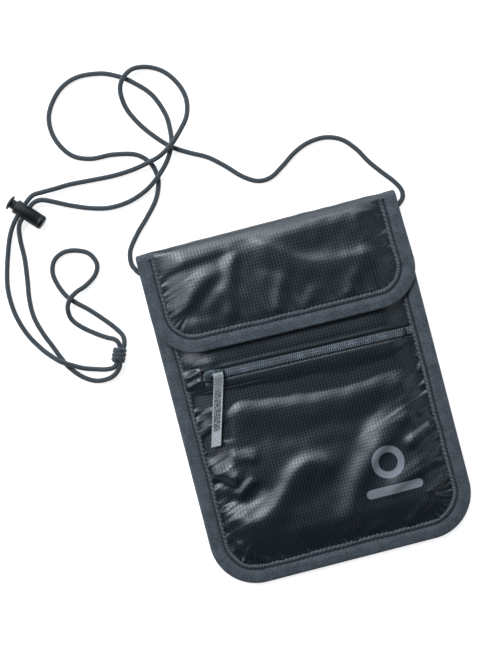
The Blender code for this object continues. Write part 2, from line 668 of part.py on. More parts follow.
def lock_slot(span, reach):
    """Cutter for the cords' passage: an oval bar across the lock, between two depths."""
    low, high = span
    half = HOLE_HEIGHT / 2
    bm = bmesh.new()
    bmesh.ops.create_cube(bm, size=1.0)
    for vert in bm.verts:
        vert.co.x *= 2 * reach
        vert.co.y *= HOLE_HEIGHT
        vert.co.z = -high if vert.co.z < 0 else -low
    long_edges = [edge for edge in bm.edges if abs(edge.verts[0].co.x - edge.verts[1].co.x) > reach]
    bmesh.ops.bevel(bm, geom=long_edges, offset=0.45 * half, segments=2, profile=0.5, affect="EDGES")
    bmesh.ops.transform(bm, matrix=lock_matrix(), verts=bm.verts)
    return bm


def build_lock(lock_axis, plunger_axis):
    matrix = lock_matrix()
    edge = 0.7 * MM
    barrel_profile = (
        (0, -BORE_DEPTH), (BORE_RADIUS, -BORE_DEPTH), (BORE_RADIUS, 0), (BARREL_RADIUS - edge, 0),
        (BARREL_RADIUS, -edge), (BARREL_RADIUS, edge - BARREL_LENGTH),
        (BARREL_RADIUS - edge, -BARREL_LENGTH), (0, -BARREL_LENGTH),
    )
    barrel = turned("cord_lock_barrel", barrel_profile, PLASTIC, matrix, parent=lock_axis)
    combine(barrel, lock_slot(BARREL_HOLE, 2 * BARREL_RADIUS), "DIFFERENCE", "barrel_hole")
    head_top = NECK_LENGTH + HEAD_LENGTH
    plunger_profile = (
        (0, head_top), (HEAD_RADIUS - edge, head_top), (HEAD_RADIUS, head_top - edge),
        (HEAD_RADIUS, NECK_LENGTH), (STEM_RADIUS, NECK_LENGTH), (STEM_RADIUS, -STEM_DEPTH), (0, -STEM_DEPTH),
    )
    plunger = turned("cord_lock_plunger", plunger_profile, PLASTIC, matrix, parent=plunger_axis)
    combine(plunger, lock_slot(STEM_SLOT, 2 * BARREL_RADIUS), "DIFFERENCE", "plunger_slot")
    steps = int(SPRING_TURNS * 10)
    coil = []
    for step in range(steps + 1):
        angle = 2 * math.pi * SPRING_TURNS * step / steps
        depth = SPRING_ENDS[0] + (SPRING_ENDS[1] - SPRING_ENDS[0]) * step / steps
        across = (SPRING_RADIUS * math.cos(angle), SPRING_RADIUS * math.sin(angle))
        coil.append(matrix @ Vector((*across, -depth)))
    tube("cord_lock_spring", coil, SPRING_WIRE, STEEL, 1.0, lock_axis)


def build_cords():
    tube("neck_cord_left", smooth_points(LEFT_ROUTE, CORD_STEP), CORD_RADIUS, CORD)
    tube("neck_cord_right", smooth_points(RIGHT_ROUTE, CORD_STEP), CORD_RADIUS, CORD)
    tube("neck_cord_loop", smooth_points(LOOP_ROUTE, CORD_STEP), CORD_RADIUS, CORD)
    turn = Matrix.Rotation(KNOT_ANGLE, 4, "Z") @ Matrix.Rotation(math.pi / 2, 4, "Y")
    shoulder = 0.55 * KNOT_HALF_LENGTH
    profile = (
        (0, KNOT_HALF_LENGTH), (KNOT_END_RADIUS, KNOT_HALF_LENGTH), (KNOT_RADIUS, shoulder),
        (KNOT_RADIUS, -shoulder), (KNOT_END_RADIUS, -KNOT_HALF_LENGTH), (0, -KNOT_HALF_LENGTH),
    )
    turned("cord_knot", profile, CORD, Matrix.Translation(KNOT_MIDDLE) @ turn, steps=16)


clear_scene()
PARTS = make_collection("neck_pouch_wallet")
CUTTERS = make_collection("cutters")
spine_axis = add_axis("flap_lower_crease", (0, CREASE_Y, LOWER_CREASE_Z))
flap_axis = add_axis("flap_upper_crease", (0, CREASE_Y, UPPER_CREASE_Z))
slider_axis = add_axis("slider_travel", zip_point(SLIDER_X, 0, UPPER_PLATE_Z[1]))
puller_axis = add_axis("puller_swing", zip_point(SLIDER_X + PULLER_X, 0, BAR_Z))
lock_axis = add_axis("lock_travel", LOCK_END)
plunger_axis = add_axis("plunger_press", LOCK_END)
build_body()
build_zip()
build_slider(slider_axis)
build_puller(puller_axis)
build_spine(spine_axis)
build_flap(flap_axis)
build_lock(lock_axis, plunger_axis)
build_cords()
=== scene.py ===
"""The looks of the neck pouch wallet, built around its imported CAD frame.

Lengths in this file are millimetres until they become a mesh.
"""

import math

import bmesh
import bpy
import numpy as np
from mathutils import Matrix, Vector, noise


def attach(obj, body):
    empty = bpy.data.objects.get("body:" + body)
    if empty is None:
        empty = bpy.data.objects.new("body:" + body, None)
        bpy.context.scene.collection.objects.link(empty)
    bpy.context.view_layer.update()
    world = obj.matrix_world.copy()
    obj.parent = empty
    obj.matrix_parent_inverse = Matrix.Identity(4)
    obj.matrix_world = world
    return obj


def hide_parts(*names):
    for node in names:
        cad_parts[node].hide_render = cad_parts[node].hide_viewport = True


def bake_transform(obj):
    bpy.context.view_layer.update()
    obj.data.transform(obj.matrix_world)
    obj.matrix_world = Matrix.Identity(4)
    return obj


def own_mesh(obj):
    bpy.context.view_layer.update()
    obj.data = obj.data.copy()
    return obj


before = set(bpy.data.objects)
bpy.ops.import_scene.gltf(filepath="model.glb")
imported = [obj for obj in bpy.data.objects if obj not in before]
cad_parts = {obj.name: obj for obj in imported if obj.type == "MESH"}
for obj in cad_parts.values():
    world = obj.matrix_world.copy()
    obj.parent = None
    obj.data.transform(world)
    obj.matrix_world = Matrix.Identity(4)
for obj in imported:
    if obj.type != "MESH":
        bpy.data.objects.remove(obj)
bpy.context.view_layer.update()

MM = 0.001
UV_MAP = "cloth"

# ---------------------------------------------------------------- the pouch's shape, as in the CAD
HALF_WIDTH = 77.0
HALF_HEIGHT = 100.0
CORNER = 27.0
FLAP_CORNER = 24.0
FLAP_EDGE_Y = 37.0
MOUTH_Y = 78.0
BACK_TOP_Y = 97.6
BINDING_TOP_Y = 96.6
FLAP_TOP_Y = 96.4
SEAM_INSET = 0.8
BINDING_WIDTH = 10.4
CLOTH = 0.4
CLOTH_STEP = 0.8
LINING_STEP = 1.6
RIB_PITCH = 1.86
EDGE_STEP = 0.65
STITCH_PITCH = 2.6
GROOVE = 8.1
RISE_START = 9.5
RISE_END = 27.0

BACK_LEVEL = (0.7, 0.0)
DIVIDER_LEVEL = (1.4, 4.9)
TAPE_LEVEL = (2.1, 6.5)
FRONT_LEVEL = (2.8, 7.2)
TAB_LEVEL = (3.5, 7.9)
LINING_LEVEL = (4.9, 9.5)
FLAP_LEVEL = (5.5, 10.1)
FLAP_RISE = 4.6

ZIP_Y = 21.4
ZIP_SLOPE = math.tan(math.radians(-1.5))
ZIP_ANGLE = math.radians(-1.5)
ZIP_WINDOW = 3.8
COIL_ENDS = (-56.4, 61.0)
COIL_SEWN_IN = 68.0
SLIDER_X = -49.4
PULLER_X = 1.8
BAR_Z = 11.0

CORD_RADIUS = 1.4
LOW = 1.5
OVER = 4.7
TOP = 7.8
LEFT_ROUTE = (
    (-78.4, 92.5, 2.0), (-80.1, 97.0, 1.6), (
        -78.6, 104.5, LOW,
    ), (-72, 113, LOW), (-65, 120, LOW), (-57.5, 128.5, LOW),
    (
        -53.6, 136.8, LOW,
    ), (-53, 143, LOW), (-55, 150.3, LOW), (-62, 157, LOW), (-75, 160.3, LOW), (-88, 161.2, LOW),
    (-98.5, 166.5, LOW), (-105, 178.5, LOW), (-104.6, 191.5, LOW), (-96, 203.2, LOW), (-84.5, 208.4, LOW),
    (-71, 207.5, LOW), (-61.5, 203.7, LOW), (-53.5, 198, LOW), (-44.5, 188.3, LOW), (-39.6, 175.5, 1.9),
    (-39.2, 165, 3.6), (-40.6, 157, OVER), (-45.3, 148.7, 4.5), (-52.3, 141.5, OVER), (-61, 135.6, 3.0),
    (-72, 131.8, LOW), (-84, 131.1, LOW), (-95, 133.7, LOW), (-106, 138.2, 1.8), (-114.5, 142.4, 3.4),
    (-121, 145, 4.5), (-126.2, 144.2, 4.6), (
        -130.88, 139.92, 4.6,
    ), (-136.4, 134.8, 4.6), (-138.4, 126.5, 2.6),
    (-138.8, 115, LOW), (-140.3, 103, LOW), (-142, 92, LOW), (-142.1, 81.5, LOW), (-139.6, 71.5, LOW),
    (-135.8, 62, LOW), (-132.6, 54, LOW), (-129.3, 47.5, LOW), (-123.5, 40.8, LOW), (-116.5, 36.6, LOW),
    (-109.5, 36, 2.2), (-104.6, 37.6, 3.8), (-101.3, 41, 4.5),
)
RIGHT_ROUTE = (
    (78.6, 92.4, 2.0), (80.4, 94.2, 1.8), (81.3, 97.6, LOW), (
        80.2, 101.4, LOW,
    ), (77.0, 106.4, LOW), (72.8, 111.6, LOW), (66.9, 119.5, LOW),
    (
        61.8, 128.3, LOW,
    ), (55, 135.7, LOW), (46, 139.3, LOW), (36, 138.8, LOW), (27, 135.3, LOW), (18, 129.3, LOW),
    (10, 124.8, LOW), (2, 124.8, LOW), (-6, 129.8, LOW), (
        -13.5, 137.5, LOW,
    ), (-22, 145, LOW), (-31.5, 150.2, LOW),
    (-40.5, 155.8, LOW), (-48.5, 164, LOW), (-55.5, 173.5, LOW), (-60.5, 184, 1.8), (-61.4, 194, 3.6),
    (-58.3, 200.6, OVER), (-51.5, 204.8, 3.8), (-42.5, 204, 1.8), (-34, 198.8, LOW), (-28, 190, LOW),
    (-25.8, 180.5, 2.2), (-28, 171, 4.4), (-34, 163.2, 6.6), (-40.7, 156.9, TOP), (-48.5, 152.3, 6.6),
    (-56.4, 150.3, 4.9), (-66, 148.8, 3.0), (-78, 148.4, LOW), (-92, 149.2, LOW), (-103, 149.8, 2.0),
    (-112, 149.4, 3.4), (-119, 149.2, 4.4), (-124.6, 148.9, 4.6), (-129, 146.2, 4.6), (-133.03, 142.22, 4.6),
    (-138.5, 137.1, 4.6), (-143.6, 129.5, 2.8), (-148.6, 116.5, LOW), (-152, 104, LOW), (-152.8, 94, LOW),
    (-151.6, 83, LOW), (-148, 72, LOW), (-142.5, 62.6, 2.0), (-137.5, 56.5, 3.8), (-133, 52.2, OVER),
    (-128, 49, 3.8), (-121.5, 45.4, 2.0), (-114.5, 43, LOW), (-109.3, 41.6, 3.2), (-104.7, 41.5, 4.5),
)
LOOP_ROUTE = (
    (-95.4, 52.8, 4.5), (-95, 57.6, 3.2), (-98.3, 63.4, 1.8), (-104, 70.4, LOW), (-110.5, 77.5, LOW),
    (-117, 83.5, LOW), (-121.3, 88.8, LOW), (-124.4, 96.5, LOW), (-125.2, 103.5, LOW), (-122.4, 109.8, LOW),
    (-116, 112.9, LOW), (-108.6, 112, LOW), (-102, 108.3, LOW), (-99.3, 101.5, LOW), (-102, 95.7, LOW),
    (-108.5, 91.2, 2.2), (-114.6, 88.8, 4.0), (-119.2, 85.6, OVER), (-121.8, 81, 4.0), (-121.6, 75, 2.0),
    (-117.6, 69.4, LOW), (-111, 63.8, LOW), (-104.6, 59.4, 2.8), (-100.4, 57.2, 4.1), (-98.6, 55, 4.5),
)
LOCK_END = Vector((-136.0, 145.4, 4.6))
LOCK_ANGLE = math.radians(223.0)
KNOT_MIDDLE = Vector((-99.9, 47.6, 4.5))
KNOT_ANGLE = math.radians(65.8)


# ---------------------------------------------------------------- small mathematics
def smooth(t):
    t = np.clip(t, 0.0, 1.0)
    return t * t * (3 - 2 * t)


def edge_distance(x, y, low_y=-HALF_HEIGHT, corner=CORNER):
    """How far points are inside the outline of the pouch or flap; the fold at the top isn't an edge."""
    side = HALF_WIDTH - np.abs(x)
    bottom = y - low_y
    in_corner = corner - np.hypot(corner - side, corner - bottom)
    return np.where((side < corner) & (bottom < corner), in_corner, np.minimum(side, bottom))


def rise(x, y):
    """0 where the layers are bound together, 1 in the level middle."""
    return smooth((edge_distance(x, y) - RISE_START) / (RISE_END - RISE_START))


def level(pair, x, y):
    return pair[0] + (pair[1] - pair[0]) * rise(x, y)


def half_width(y, low_y, corner, inset=SEAM_INSET):
    """Half the width of an outline with round lower corners, at each height."""
    radius = corner - inset
    drop = np.clip(low_y + corner - y, 0.0, radius)
    return HALF_WIDTH - corner + np.sqrt(np.maximum(radius**2 - drop**2, 0.0))


def ripple(x, y, size, seed):
    """Smooth noise from -1 to 1, the same at each run."""
    flat_x, flat_y = np.ravel(x) / size, np.ravel(y) / size
    values = [noise.noise((a, b, seed)) for a, b in zip(flat_x, flat_y)]
    return np.reshape(values, np.shape(x)) * 1.6


def smooth_path(points, rounds=3):
    """Cut the corners of a path until it is round."""
    path = np.array(points, float)
    for _ in range(rounds):
        first = 0.75 * path[:-1] + 0.25 * path[1:]
        second = 0.25 * path[:-1] + 0.75 * path[1:]
        middle = np.stack([first, second], axis=1).reshape(-1, path.shape[1])
        path = np.concatenate([path[:1], middle, path[-1:]])
    return path


def ridge(x, y, points, height, left, right, fade=0.25):
    """A fold of cloth along a path: a crest that falls off over different widths on its two sides."""
    path = smooth_path(points)
    steps = np.diff(path, axis=0)
    lengths = np.hypot(steps[:, 0], steps[:, 1])
    starts = np.concatenate([[0.0], np.cumsum(lengths)])
    best = np.full(np.shape(x), 1e9)
    place = np.zeros(np.shape(x))
    side = np.zeros(np.shape(x))
    for index, (step, length) in enumerate(zip(steps, lengths)):
        ax, ay = x - path[index, 0], y - path[index, 1]
        along = np.clip((ax * step[0] + ay * step[1]) / length**2, 0.0, 1.0)
        away = np.hypot(ax - along * step[0], ay - along * step[1])
        closer = away < best
        best = np.where(closer, away, best)
        place = np.where(closer, (starts[index] + along * length) / starts[-1], place)
        side = np.where(closer, step[0] * ay - step[1] * ax, side)
    width = np.where(side > 0, left, right)
    ends = smooth(np.minimum(place, 1 - place) / fade)
    return height * ends * np.exp(-((best / width) ** 2))


def catmull_rom(route, step):
    """Evenly spaced points on a smooth curve through a route."""
    knots = np.array(route, float)
    ends = np.concatenate([[2 * knots[0] - knots[1]], knots, [2 * knots[-1] - knots[-2]]])
    t = np.linspace(0, 1, 24, endpoint=False)[:, None]
    fine = []
    for a, b, c, d in zip(ends, ends[1:], ends[2:], ends[3:]):
        fine.append(
            0.5 * (2 * b + (c - a) * t + (2 * a - 5 * b + 4 * c - d) * t**2 + (3 * b - a - 3 * c + d) * t**3)
        )
    fine = np.concatenate(fine + [knots[-1:]])
    lengths = np.concatenate([[0.0], np.cumsum(np.linalg.norm(np.diff(fine, axis=0), axis=1))])
    at = np.linspace(0, lengths[-1], max(2, round(lengths[-1] / step)) + 1)
    return np.stack([np.interp(at, lengths, fine[:, k]) for k in range(3)], axis=1), lengths[-1]


# ---------------------------------------------------------------- meshes
def add_mesh(name, verts, faces, uvs, material):
    """A smooth mesh from arrays in millimetres. uvs, in millimetres too, has one row for each vertex."""
    mesh = bpy.data.meshes.new(name)
    mesh.from_pydata((np.asarray(verts) * MM).tolist(), [], faces)
    mesh.polygons.foreach_set("use_smooth", [True] * len(mesh.polygons))
    if uvs is not None:
        layer = mesh.uv_layers.new(name=UV_MAP)
        corner_vert = np.zeros(len(mesh.loops), np.int32)
        mesh.loops.foreach_get("vertex_index", corner_vert)
        layer.data.foreach_set("uv", (np.asarray(uvs)[corner_vert] * MM).astype(np.float32).ravel())
    mesh.materials.append(material)
    obj = bpy.data.objects.new(name, mesh)
    bpy.context.scene.collection.objects.link(obj)
    return obj


def grid_faces(rows, columns, offset=0, flip=False):
    faces = []
    for i in range(rows - 1):
        for j in range(columns - 1):
            a = offset + i * columns + j
            quad = (a, a + 1, a + columns + 1, a + columns)
            faces.append(quad[::-1] if flip else quad)
    return faces


def grid_piece(name, points, uvs, material, weld=False, thickness=0.0, flip=False):
    """A mesh over a grid of points. weld joins edges that meet, as round a tube."""
    rows, columns = points.shape[:2]
    obj = add_mesh(
        name, points.reshape(-1, 3), grid_faces(rows, columns, flip=flip), uvs.reshape(-1, 2), material
    )
    if weld:
        bm = bmesh.new()
        bm.from_mesh(obj.data)
        bmesh.ops.remove_doubles(bm, verts=bm.verts, dist=1e-7)
        bmesh.ops.recalc_face_normals(bm, faces=bm.faces)
        bm.to_mesh(obj.data)
        bm.free()
    if thickness:
        solid = obj.modifiers.new("thickness", "SOLIDIFY")
        solid.thickness = thickness * MM
        solid.offset = 1.0
        solid.use_quality_normals = True
        apply_modifiers(obj)
    return obj


def apply_modifiers(obj, sharp=50.0):
    """Keep what the modifiers make, with crisp rims."""
    mesh = bpy.data.meshes.new_from_object(obj.evaluated_get(bpy.context.evaluated_depsgraph_get()))
    obj.modifiers.clear()
    obj.data = mesh
    mesh.set_sharp_from_angle(angle=math.radians(sharp))


def frames_along(path, up=(0, 0, 1)):
    """Across and up directions at each point of a path."""
    tangents = np.gradient(path, axis=0)
    tangents /= np.linalg.norm(tangents, axis=1)[:, None]
    across = np.cross(np.broadcast_to(np.array(up, float), tangents.shape), tangents)
    across /= np.linalg.norm(across, axis=1)[:, None]
    return across, np.cross(tangents, across)


def tube_arrays(path, radius, sides, up=(0, 0, 1), turn=0.0):
    """Points and uvs of a round tube. radius may be one number, or one for each ring."""
    path = np.asarray(path, float)
    across, over = frames_along(path, up)
    around = np.linspace(0, 2 * math.pi, sides + 1) + turn
    radii = np.broadcast_to(np.asarray(radius, float).reshape(-1, 1, 1), (len(path), 1, 1))
    points = path[:, None] + radii * (
        across[:, None] * np.cos(around)[None, :, None] + over[:, None] * np.sin(around)[None, :, None]
    )
    lengths = np.concatenate([[0.0], np.cumsum(np.linalg.norm(np.diff(path, axis=0), axis=1))])
    uvs = np.stack(np.broadcast_arrays(lengths[:, None], (around - turn)[None]), axis=2)
    return points, uvs.copy()


def closed_tube(name, path, radius, sides, material, up=(0, 0, 1)):
    """A tube with rounded, closed ends."""
    path = np.asarray(path, float)
    radii = np.broadcast_to(np.asarray(radius, float), len(path)).copy()
    start, end = path[0] - path[1], path[-1] - path[-2]
    start, end = start / np.linalg.norm(start), end / np.linalg.norm(end)
    caps = ((0.45, 0.87), (0.75, 0.62), (0.95, 0.28), (1.0, 0.001))
    head = [(path[0] + start * radii[0] * out, radii[0] * size) for out, size in caps][::-1]
    tail = [(path[-1] + end * radii[-1] * out, radii[-1] * size) for out, size in caps]
    full = np.concatenate([[p for p, _ in head], path, [p for p, _ in tail]])
    full_radii = np.concatenate([[r for _, r in head], radii, [r for _, r in tail]])
    points, uvs = tube_arrays(full, full_radii, sides, up)
    return grid_piece(name, points, uvs, material, weld=True)


def joined(name, parts, material):
    """One piece from many small grids of points."""
    verts, uvs, faces = [], [], []
    offset = 0
    for points, uv in parts:
        rows, columns = points.shape[:2]
        verts.append(points.reshape(-1, 3))
        uvs.append(uv.reshape(-1, 2))
        faces.extend(grid_faces(rows, columns, offset))
        offset += rows * columns
    obj = add_mesh(name, np.concatenate(verts), faces, np.concatenate(uvs), material)
    bm = bmesh.new()
    bm.from_mesh(obj.data)
    bmesh.ops.remove_doubles(bm, verts=bm.verts, dist=1e-7)
    bmesh.ops.recalc_face_normals(bm, faces=bm.faces)
    bm.to_mesh(obj.data)
    bm.free()
    return obj


# ---------------------------------------------------------------- materials
class Shader:
    """A material's node tree, with short ways to add to it."""

    def __init__(self, name, colour=(0.5, 0.5, 0.5), roughness=0.5, metallic=0.0):
        self.material = bpy.data.materials.new(name)
        self.material.use_nodes = True
        self.tree = self.material.node_tree
        self.main = self.tree.nodes["Principled BSDF"]
        self.main.inputs["Base Color"].default_value = (*colour, 1)
        self.main.inputs["Roughness"].default_value = roughness
        self.main.inputs["Metallic"].default_value = metallic
        self.material.diffuse_color = (*colour, 1)

    def set(self, **values):
        for name, value in values.items():
            self.main.inputs[name.replace("_", " ")].default_value = value

    def put(self, socket, value):
        if isinstance(value, bpy.types.NodeSocket):
            self.tree.links.new(value, socket)
        else:
            socket.default_value = value

    def times(self, *values, **settings):
        return self.math("MULTIPLY", *values, **settings)

    def plus(self, *values, **settings):
        return self.math("ADD", *values, **settings)

    def minus(self, *values, **settings):
        return self.math("SUBTRACT", *values, **settings)

    def math(self, operation, a, b=0.0, c=0.0, clamp=False):
        node = self.tree.nodes.new("ShaderNodeMath")
        node.operation = operation
        node.use_clamp = clamp
        for socket, value in zip(node.inputs, (a, b, c)):
            self.put(socket, value)
        return node.outputs[0]

    def uv(self):
        node = self.tree.nodes.new("ShaderNodeUVMap")
        node.uv_map = UV_MAP
        split = self.tree.nodes.new("ShaderNodeSeparateXYZ")
        self.tree.links.new(node.outputs[0], split.inputs[0])
        return split.outputs[0], split.outputs[1], node.outputs[0]

    def noise(self, vector, scale, detail=2.0, roughness=0.5):
        node = self.tree.nodes.new("ShaderNodeTexNoise")
        node.inputs["Scale"].default_value = scale
        node.inputs["Detail"].default_value = detail
        node.inputs["Roughness"].default_value = roughness
        if vector is not None:
            self.tree.links.new(vector, node.inputs["Vector"])
        return node.outputs[0]

    def object_place(self):
        return self.tree.nodes.new("ShaderNodeTexCoord").outputs["Object"]

    def between(self, value, low, high, low_to=0.0, high_to=1.0):
        """A smooth step from low_to to high_to, as value goes from low to high."""
        node = self.tree.nodes.new("ShaderNodeMapRange")
        node.interpolation_type = "SMOOTHSTEP"
        for socket, item in zip(node.inputs, (value, low, high, low_to, high_to)):
            self.put(socket, item)
        return node.outputs[0]

    def wave(self, value, pitch, shift=0.0):
        """0 between threads and 1 on them, for threads a pitch apart."""
        turn = self.math("FRACT", self.math("ADD", self.math("DIVIDE", value, pitch), shift))
        return self.math("SUBTRACT", 1.0, self.math("ABSOLUTE", self.math("MULTIPLY_ADD", turn, 2.0, -1.0)))

    def mix(self, share, first, second):
        node = self.tree.nodes.new("ShaderNodeMix")
        node.data_type = "RGBA"
        colours = [socket for socket in node.inputs if socket.type == "RGBA"]
        self.put(node.inputs[0], share)
        for socket, value in zip(colours, (first, second)):
            self.put(socket, (*value, 1) if isinstance(value, tuple) else value)
        return next(socket for socket in node.outputs if socket.type == "RGBA")

    def colour(self, socket):
        self.tree.links.new(socket, self.main.inputs["Base Color"])

    def rough(self, socket):
        self.tree.links.new(socket, self.main.inputs["Roughness"])

    def bump(self, height, distance, strength=1.0):
        node = self.tree.nodes.new("ShaderNodeBump")
        node.inputs["Distance"].default_value = distance * MM
        node.inputs["Strength"].default_value = strength
        self.tree.links.new(height, node.inputs["Height"])
        self.tree.links.new(node.outputs[0], self.main.inputs["Normal"])


def ripstop_material(name, dark, light, print_at=None):
    """Coated ripstop: fine cloth with a grid of thicker threads, and a printed mark if it has a place."""
    s = Shader(name, dark, 0.4)
    u, v, uv = s.uv()
    up = s.between(s.wave(u, RIB_PITCH * MM), 0.4, 0.8)
    over = s.between(s.wave(v, RIB_PITCH * MM), 0.5, 0.85)
    grid = s.math("MAXIMUM", up, s.times(over, 0.7))
    fine = s.times(s.wave(u, 0.2 * MM), s.wave(v, 0.2 * MM))
    blotch = s.noise(uv, 55.0, 3.0)
    worn = s.between(blotch, 0.35, 0.75, 0.0, 0.08)
    cloth = s.mix(s.plus(s.times(grid, 0.8), worn, clamp=True), dark, light)
    roughness = s.math("MULTIPLY_ADD", grid, 0.11, s.math("MULTIPLY_ADD", blotch, 0.08, 0.29))
    height = s.plus(s.times(up, 1.0), s.times(over, 0.6))
    height = s.plus(height, s.times(fine, 0.15))
    if print_at:
        mark = print_mask(s, u, v, print_at)
        cloth = s.mix(s.times(mark, 0.93), cloth, (0.25, 0.255, 0.29))
        roughness = s.math("MULTIPLY_ADD", mark, 0.1, roughness)
        height = s.times(height, s.math("MULTIPLY_ADD", mark, -0.75, 1.0))
    s.colour(cloth)
    s.rough(roughness)
    s.bump(height, 0.022)
    s.set(Specular_IOR_Level=0.9)
    return s.material


def print_mask(s, u, v, place):
    """A plain printed mark: a ring over a round-ended bar."""
    x = s.minus(u, place[0] * MM)
    y = s.minus(v, place[1] * MM)
    soft = 0.12 * MM

    def inside(distance, limit):
        return s.between(distance, (limit * MM) - soft, (limit * MM) + soft, 1.0, 0.0)

    away = s.math("SQRT", s.plus(s.times(x, x), s.times(y, y)))
    ring = s.times(inside(away, 9.5), s.minus(1.0, inside(away, 5.6)))
    bar_x = s.math("MAXIMUM", s.minus(s.math("ABSOLUTE", x), 14.0 * MM), 0.0)
    bar_y = s.plus(y, 16.0 * MM)
    bar_away = s.math("SQRT", s.plus(s.times(bar_x, bar_x), s.times(bar_y, bar_y)))
    return s.math("MAXIMUM", ring, inside(bar_away, 2.6))


def woven_material(name, dark, light, pitch, roughness=0.8, depth=0.12, sheen=0.25, slant=0.0):
    """Plain or twill woven cloth, for bindings, tapes and linings."""
    s = Shader(name, dark, roughness)
    u, v, uv = s.uv()
    warp = s.wave(s.math("MULTIPLY_ADD", v, slant, u), pitch * MM)
    weft = s.wave(v, pitch * MM)
    weave = s.times(warp, weft)
    blotch = s.noise(uv, 90.0, 4.0, 0.6)
    fuzz = s.noise(uv, 1400.0, 2.0)
    share = s.math("MULTIPLY_ADD", weave, 0.4, s.between(blotch, 0.3, 0.75, 0.0, 0.3), clamp=True)
    share = s.plus(share, s.between(fuzz, 0.42, 0.66, 0.0, 0.5), clamp=True)
    s.colour(s.mix(share, dark, light))
    s.rough(s.math("MULTIPLY_ADD", fuzz, 0.2, roughness - 0.1))
    s.bump(s.plus(weave, s.times(fuzz, 0.8)), depth)
    s.set(Sheen_Weight=sheen, Sheen_Roughness=0.5)
    return s.material


def binding_material():
    """Brushed binding tape, with painted shade along the groove that its stitches draw down, deepest at each
    needle hole.
    """
    s = Shader("binding_weave", (0.05, 0.06, 0.075), 0.8)
    u, v, uv = s.uv()
    nap = s.noise(uv, 1150.0, 3.0, 0.65)
    cloud = s.noise(uv, 130.0, 4.0, 0.6)
    grain = s.wave(s.math("MULTIPLY_ADD", v, 0.5, u), 0.45 * MM)
    share = s.plus(s.between(nap, 0.34, 0.68, 0.0, 0.7), s.between(cloud, 0.3, 0.72, 0.0, 0.35))
    share = s.math("MULTIPLY_ADD", grain, 0.12, share, clamp=True)
    # Painted shade: the groove where the stitches draw the tape down, darker in dashes at each needle hole.
    away = s.math("ABSOLUTE", s.minus(v, GROOVE * MM))
    groove_shade_mask = s.between(away, 0.3 * MM, 0.95 * MM, 1.0, 0.0)
    needle_hole_shade = s.math("MULTIPLY_ADD", s.between(s.wave(u, STITCH_PITCH * MM), 0.25, 0.55), 0.45, 0.5)
    cloth = s.mix(share, (0.018, 0.024, 0.031), (0.122, 0.142, 0.166))
    # The groove's painted shade mixes the tape's colour towards near-black.
    s.colour(s.mix(s.times(groove_shade_mask, needle_hole_shade), cloth, (0.004, 0.006, 0.008)))
    s.rough(s.math("MULTIPLY_ADD", nap, 0.2, 0.66))
    s.bump(s.math("MULTIPLY_ADD", grain, 0.25, nap), 0.35)
    s.set(Sheen_Weight=0.1, Sheen_Roughness=0.5)
    return s.material


def cord_material():
    """A round braid: strands cross round the cord both ways."""
    s = Shader("cord_braid", (0.05, 0.06, 0.07), 0.7)
    u, v, _uv = s.uv()
    turns = s.times(v, 8.0 / (2 * math.pi * MM))
    runs = s.math("DIVIDE", u, 1.5 * MM)
    one = s.wave(s.plus(turns, runs), 1.0)
    two = s.wave(s.minus(turns, runs), 1.0)
    strands = s.math("MAXIMUM", s.times(one, one), s.times(two, two))
    fuzz = s.noise(s.object_place(), 2600.0, 2.0)
    share = s.math("MULTIPLY_ADD", strands, 0.8, s.math("MULTIPLY_ADD", fuzz, 0.5, -0.25), clamp=True)
    s.colour(s.mix(share, (0.010, 0.015, 0.019), (0.105, 0.130, 0.148)))
    s.bump(s.plus(strands, s.times(fuzz, 0.3)), 0.16)
    s.set(Sheen_Weight=0.3, Sheen_Roughness=0.5)
    return s.material


def thread_material(name, dark, light):
    """Twisted sewing thread."""
    s = Shader(name, dark, 0.6)
    u, v, _uv = s.uv()
    twist = s.wave(s.plus(s.math("DIVIDE", u, 0.55 * MM), s.times(v, 1 / (math.pi * MM))), 1.0)
    s.colour(s.mix(twist, dark, light))
    s.bump(twist, 0.1)
    s.set(Sheen_Weight=0.2)
    return s.material


def plastic_material(name, colour, roughness):
    """Moulded plastic with a fine grain and lighter patches in clouds."""
    s = Shader(name, colour, roughness)
    place = s.object_place()
    grain = s.noise(place, 2200.0, 3.0)
    cloud = s.noise(place, 160.0, 3.0)
    lighter = tuple(c * 2.2 + 0.004 for c in colour)
    s.colour(s.mix(s.between(cloud, 0.4, 0.75, 0.0, 0.6), colour, lighter))
    s.rough(s.math("MULTIPLY_ADD", cloud, 0.25, roughness - 0.1))
    s.bump(grain, 0.05)
    return s.material


def metal_material(name, colour, roughness):
    """Cast and plated metal, slightly pitted and rubbed."""
    s = Shader(name, colour, roughness, 1.0)
    place = s.object_place()
    cloud = s.noise(place, 420.0, 4.0)
    rub = s.noise(place, 1800.0, 2.0)
    s.colour(s.mix(s.between(cloud, 0.4, 0.7), colour, tuple(c * 1.8 for c in colour)))
    s.rough(s.math("MULTIPLY_ADD", cloud, 0.3, roughness - 0.1))
    s.bump(rub, 0.02)
    return s.material


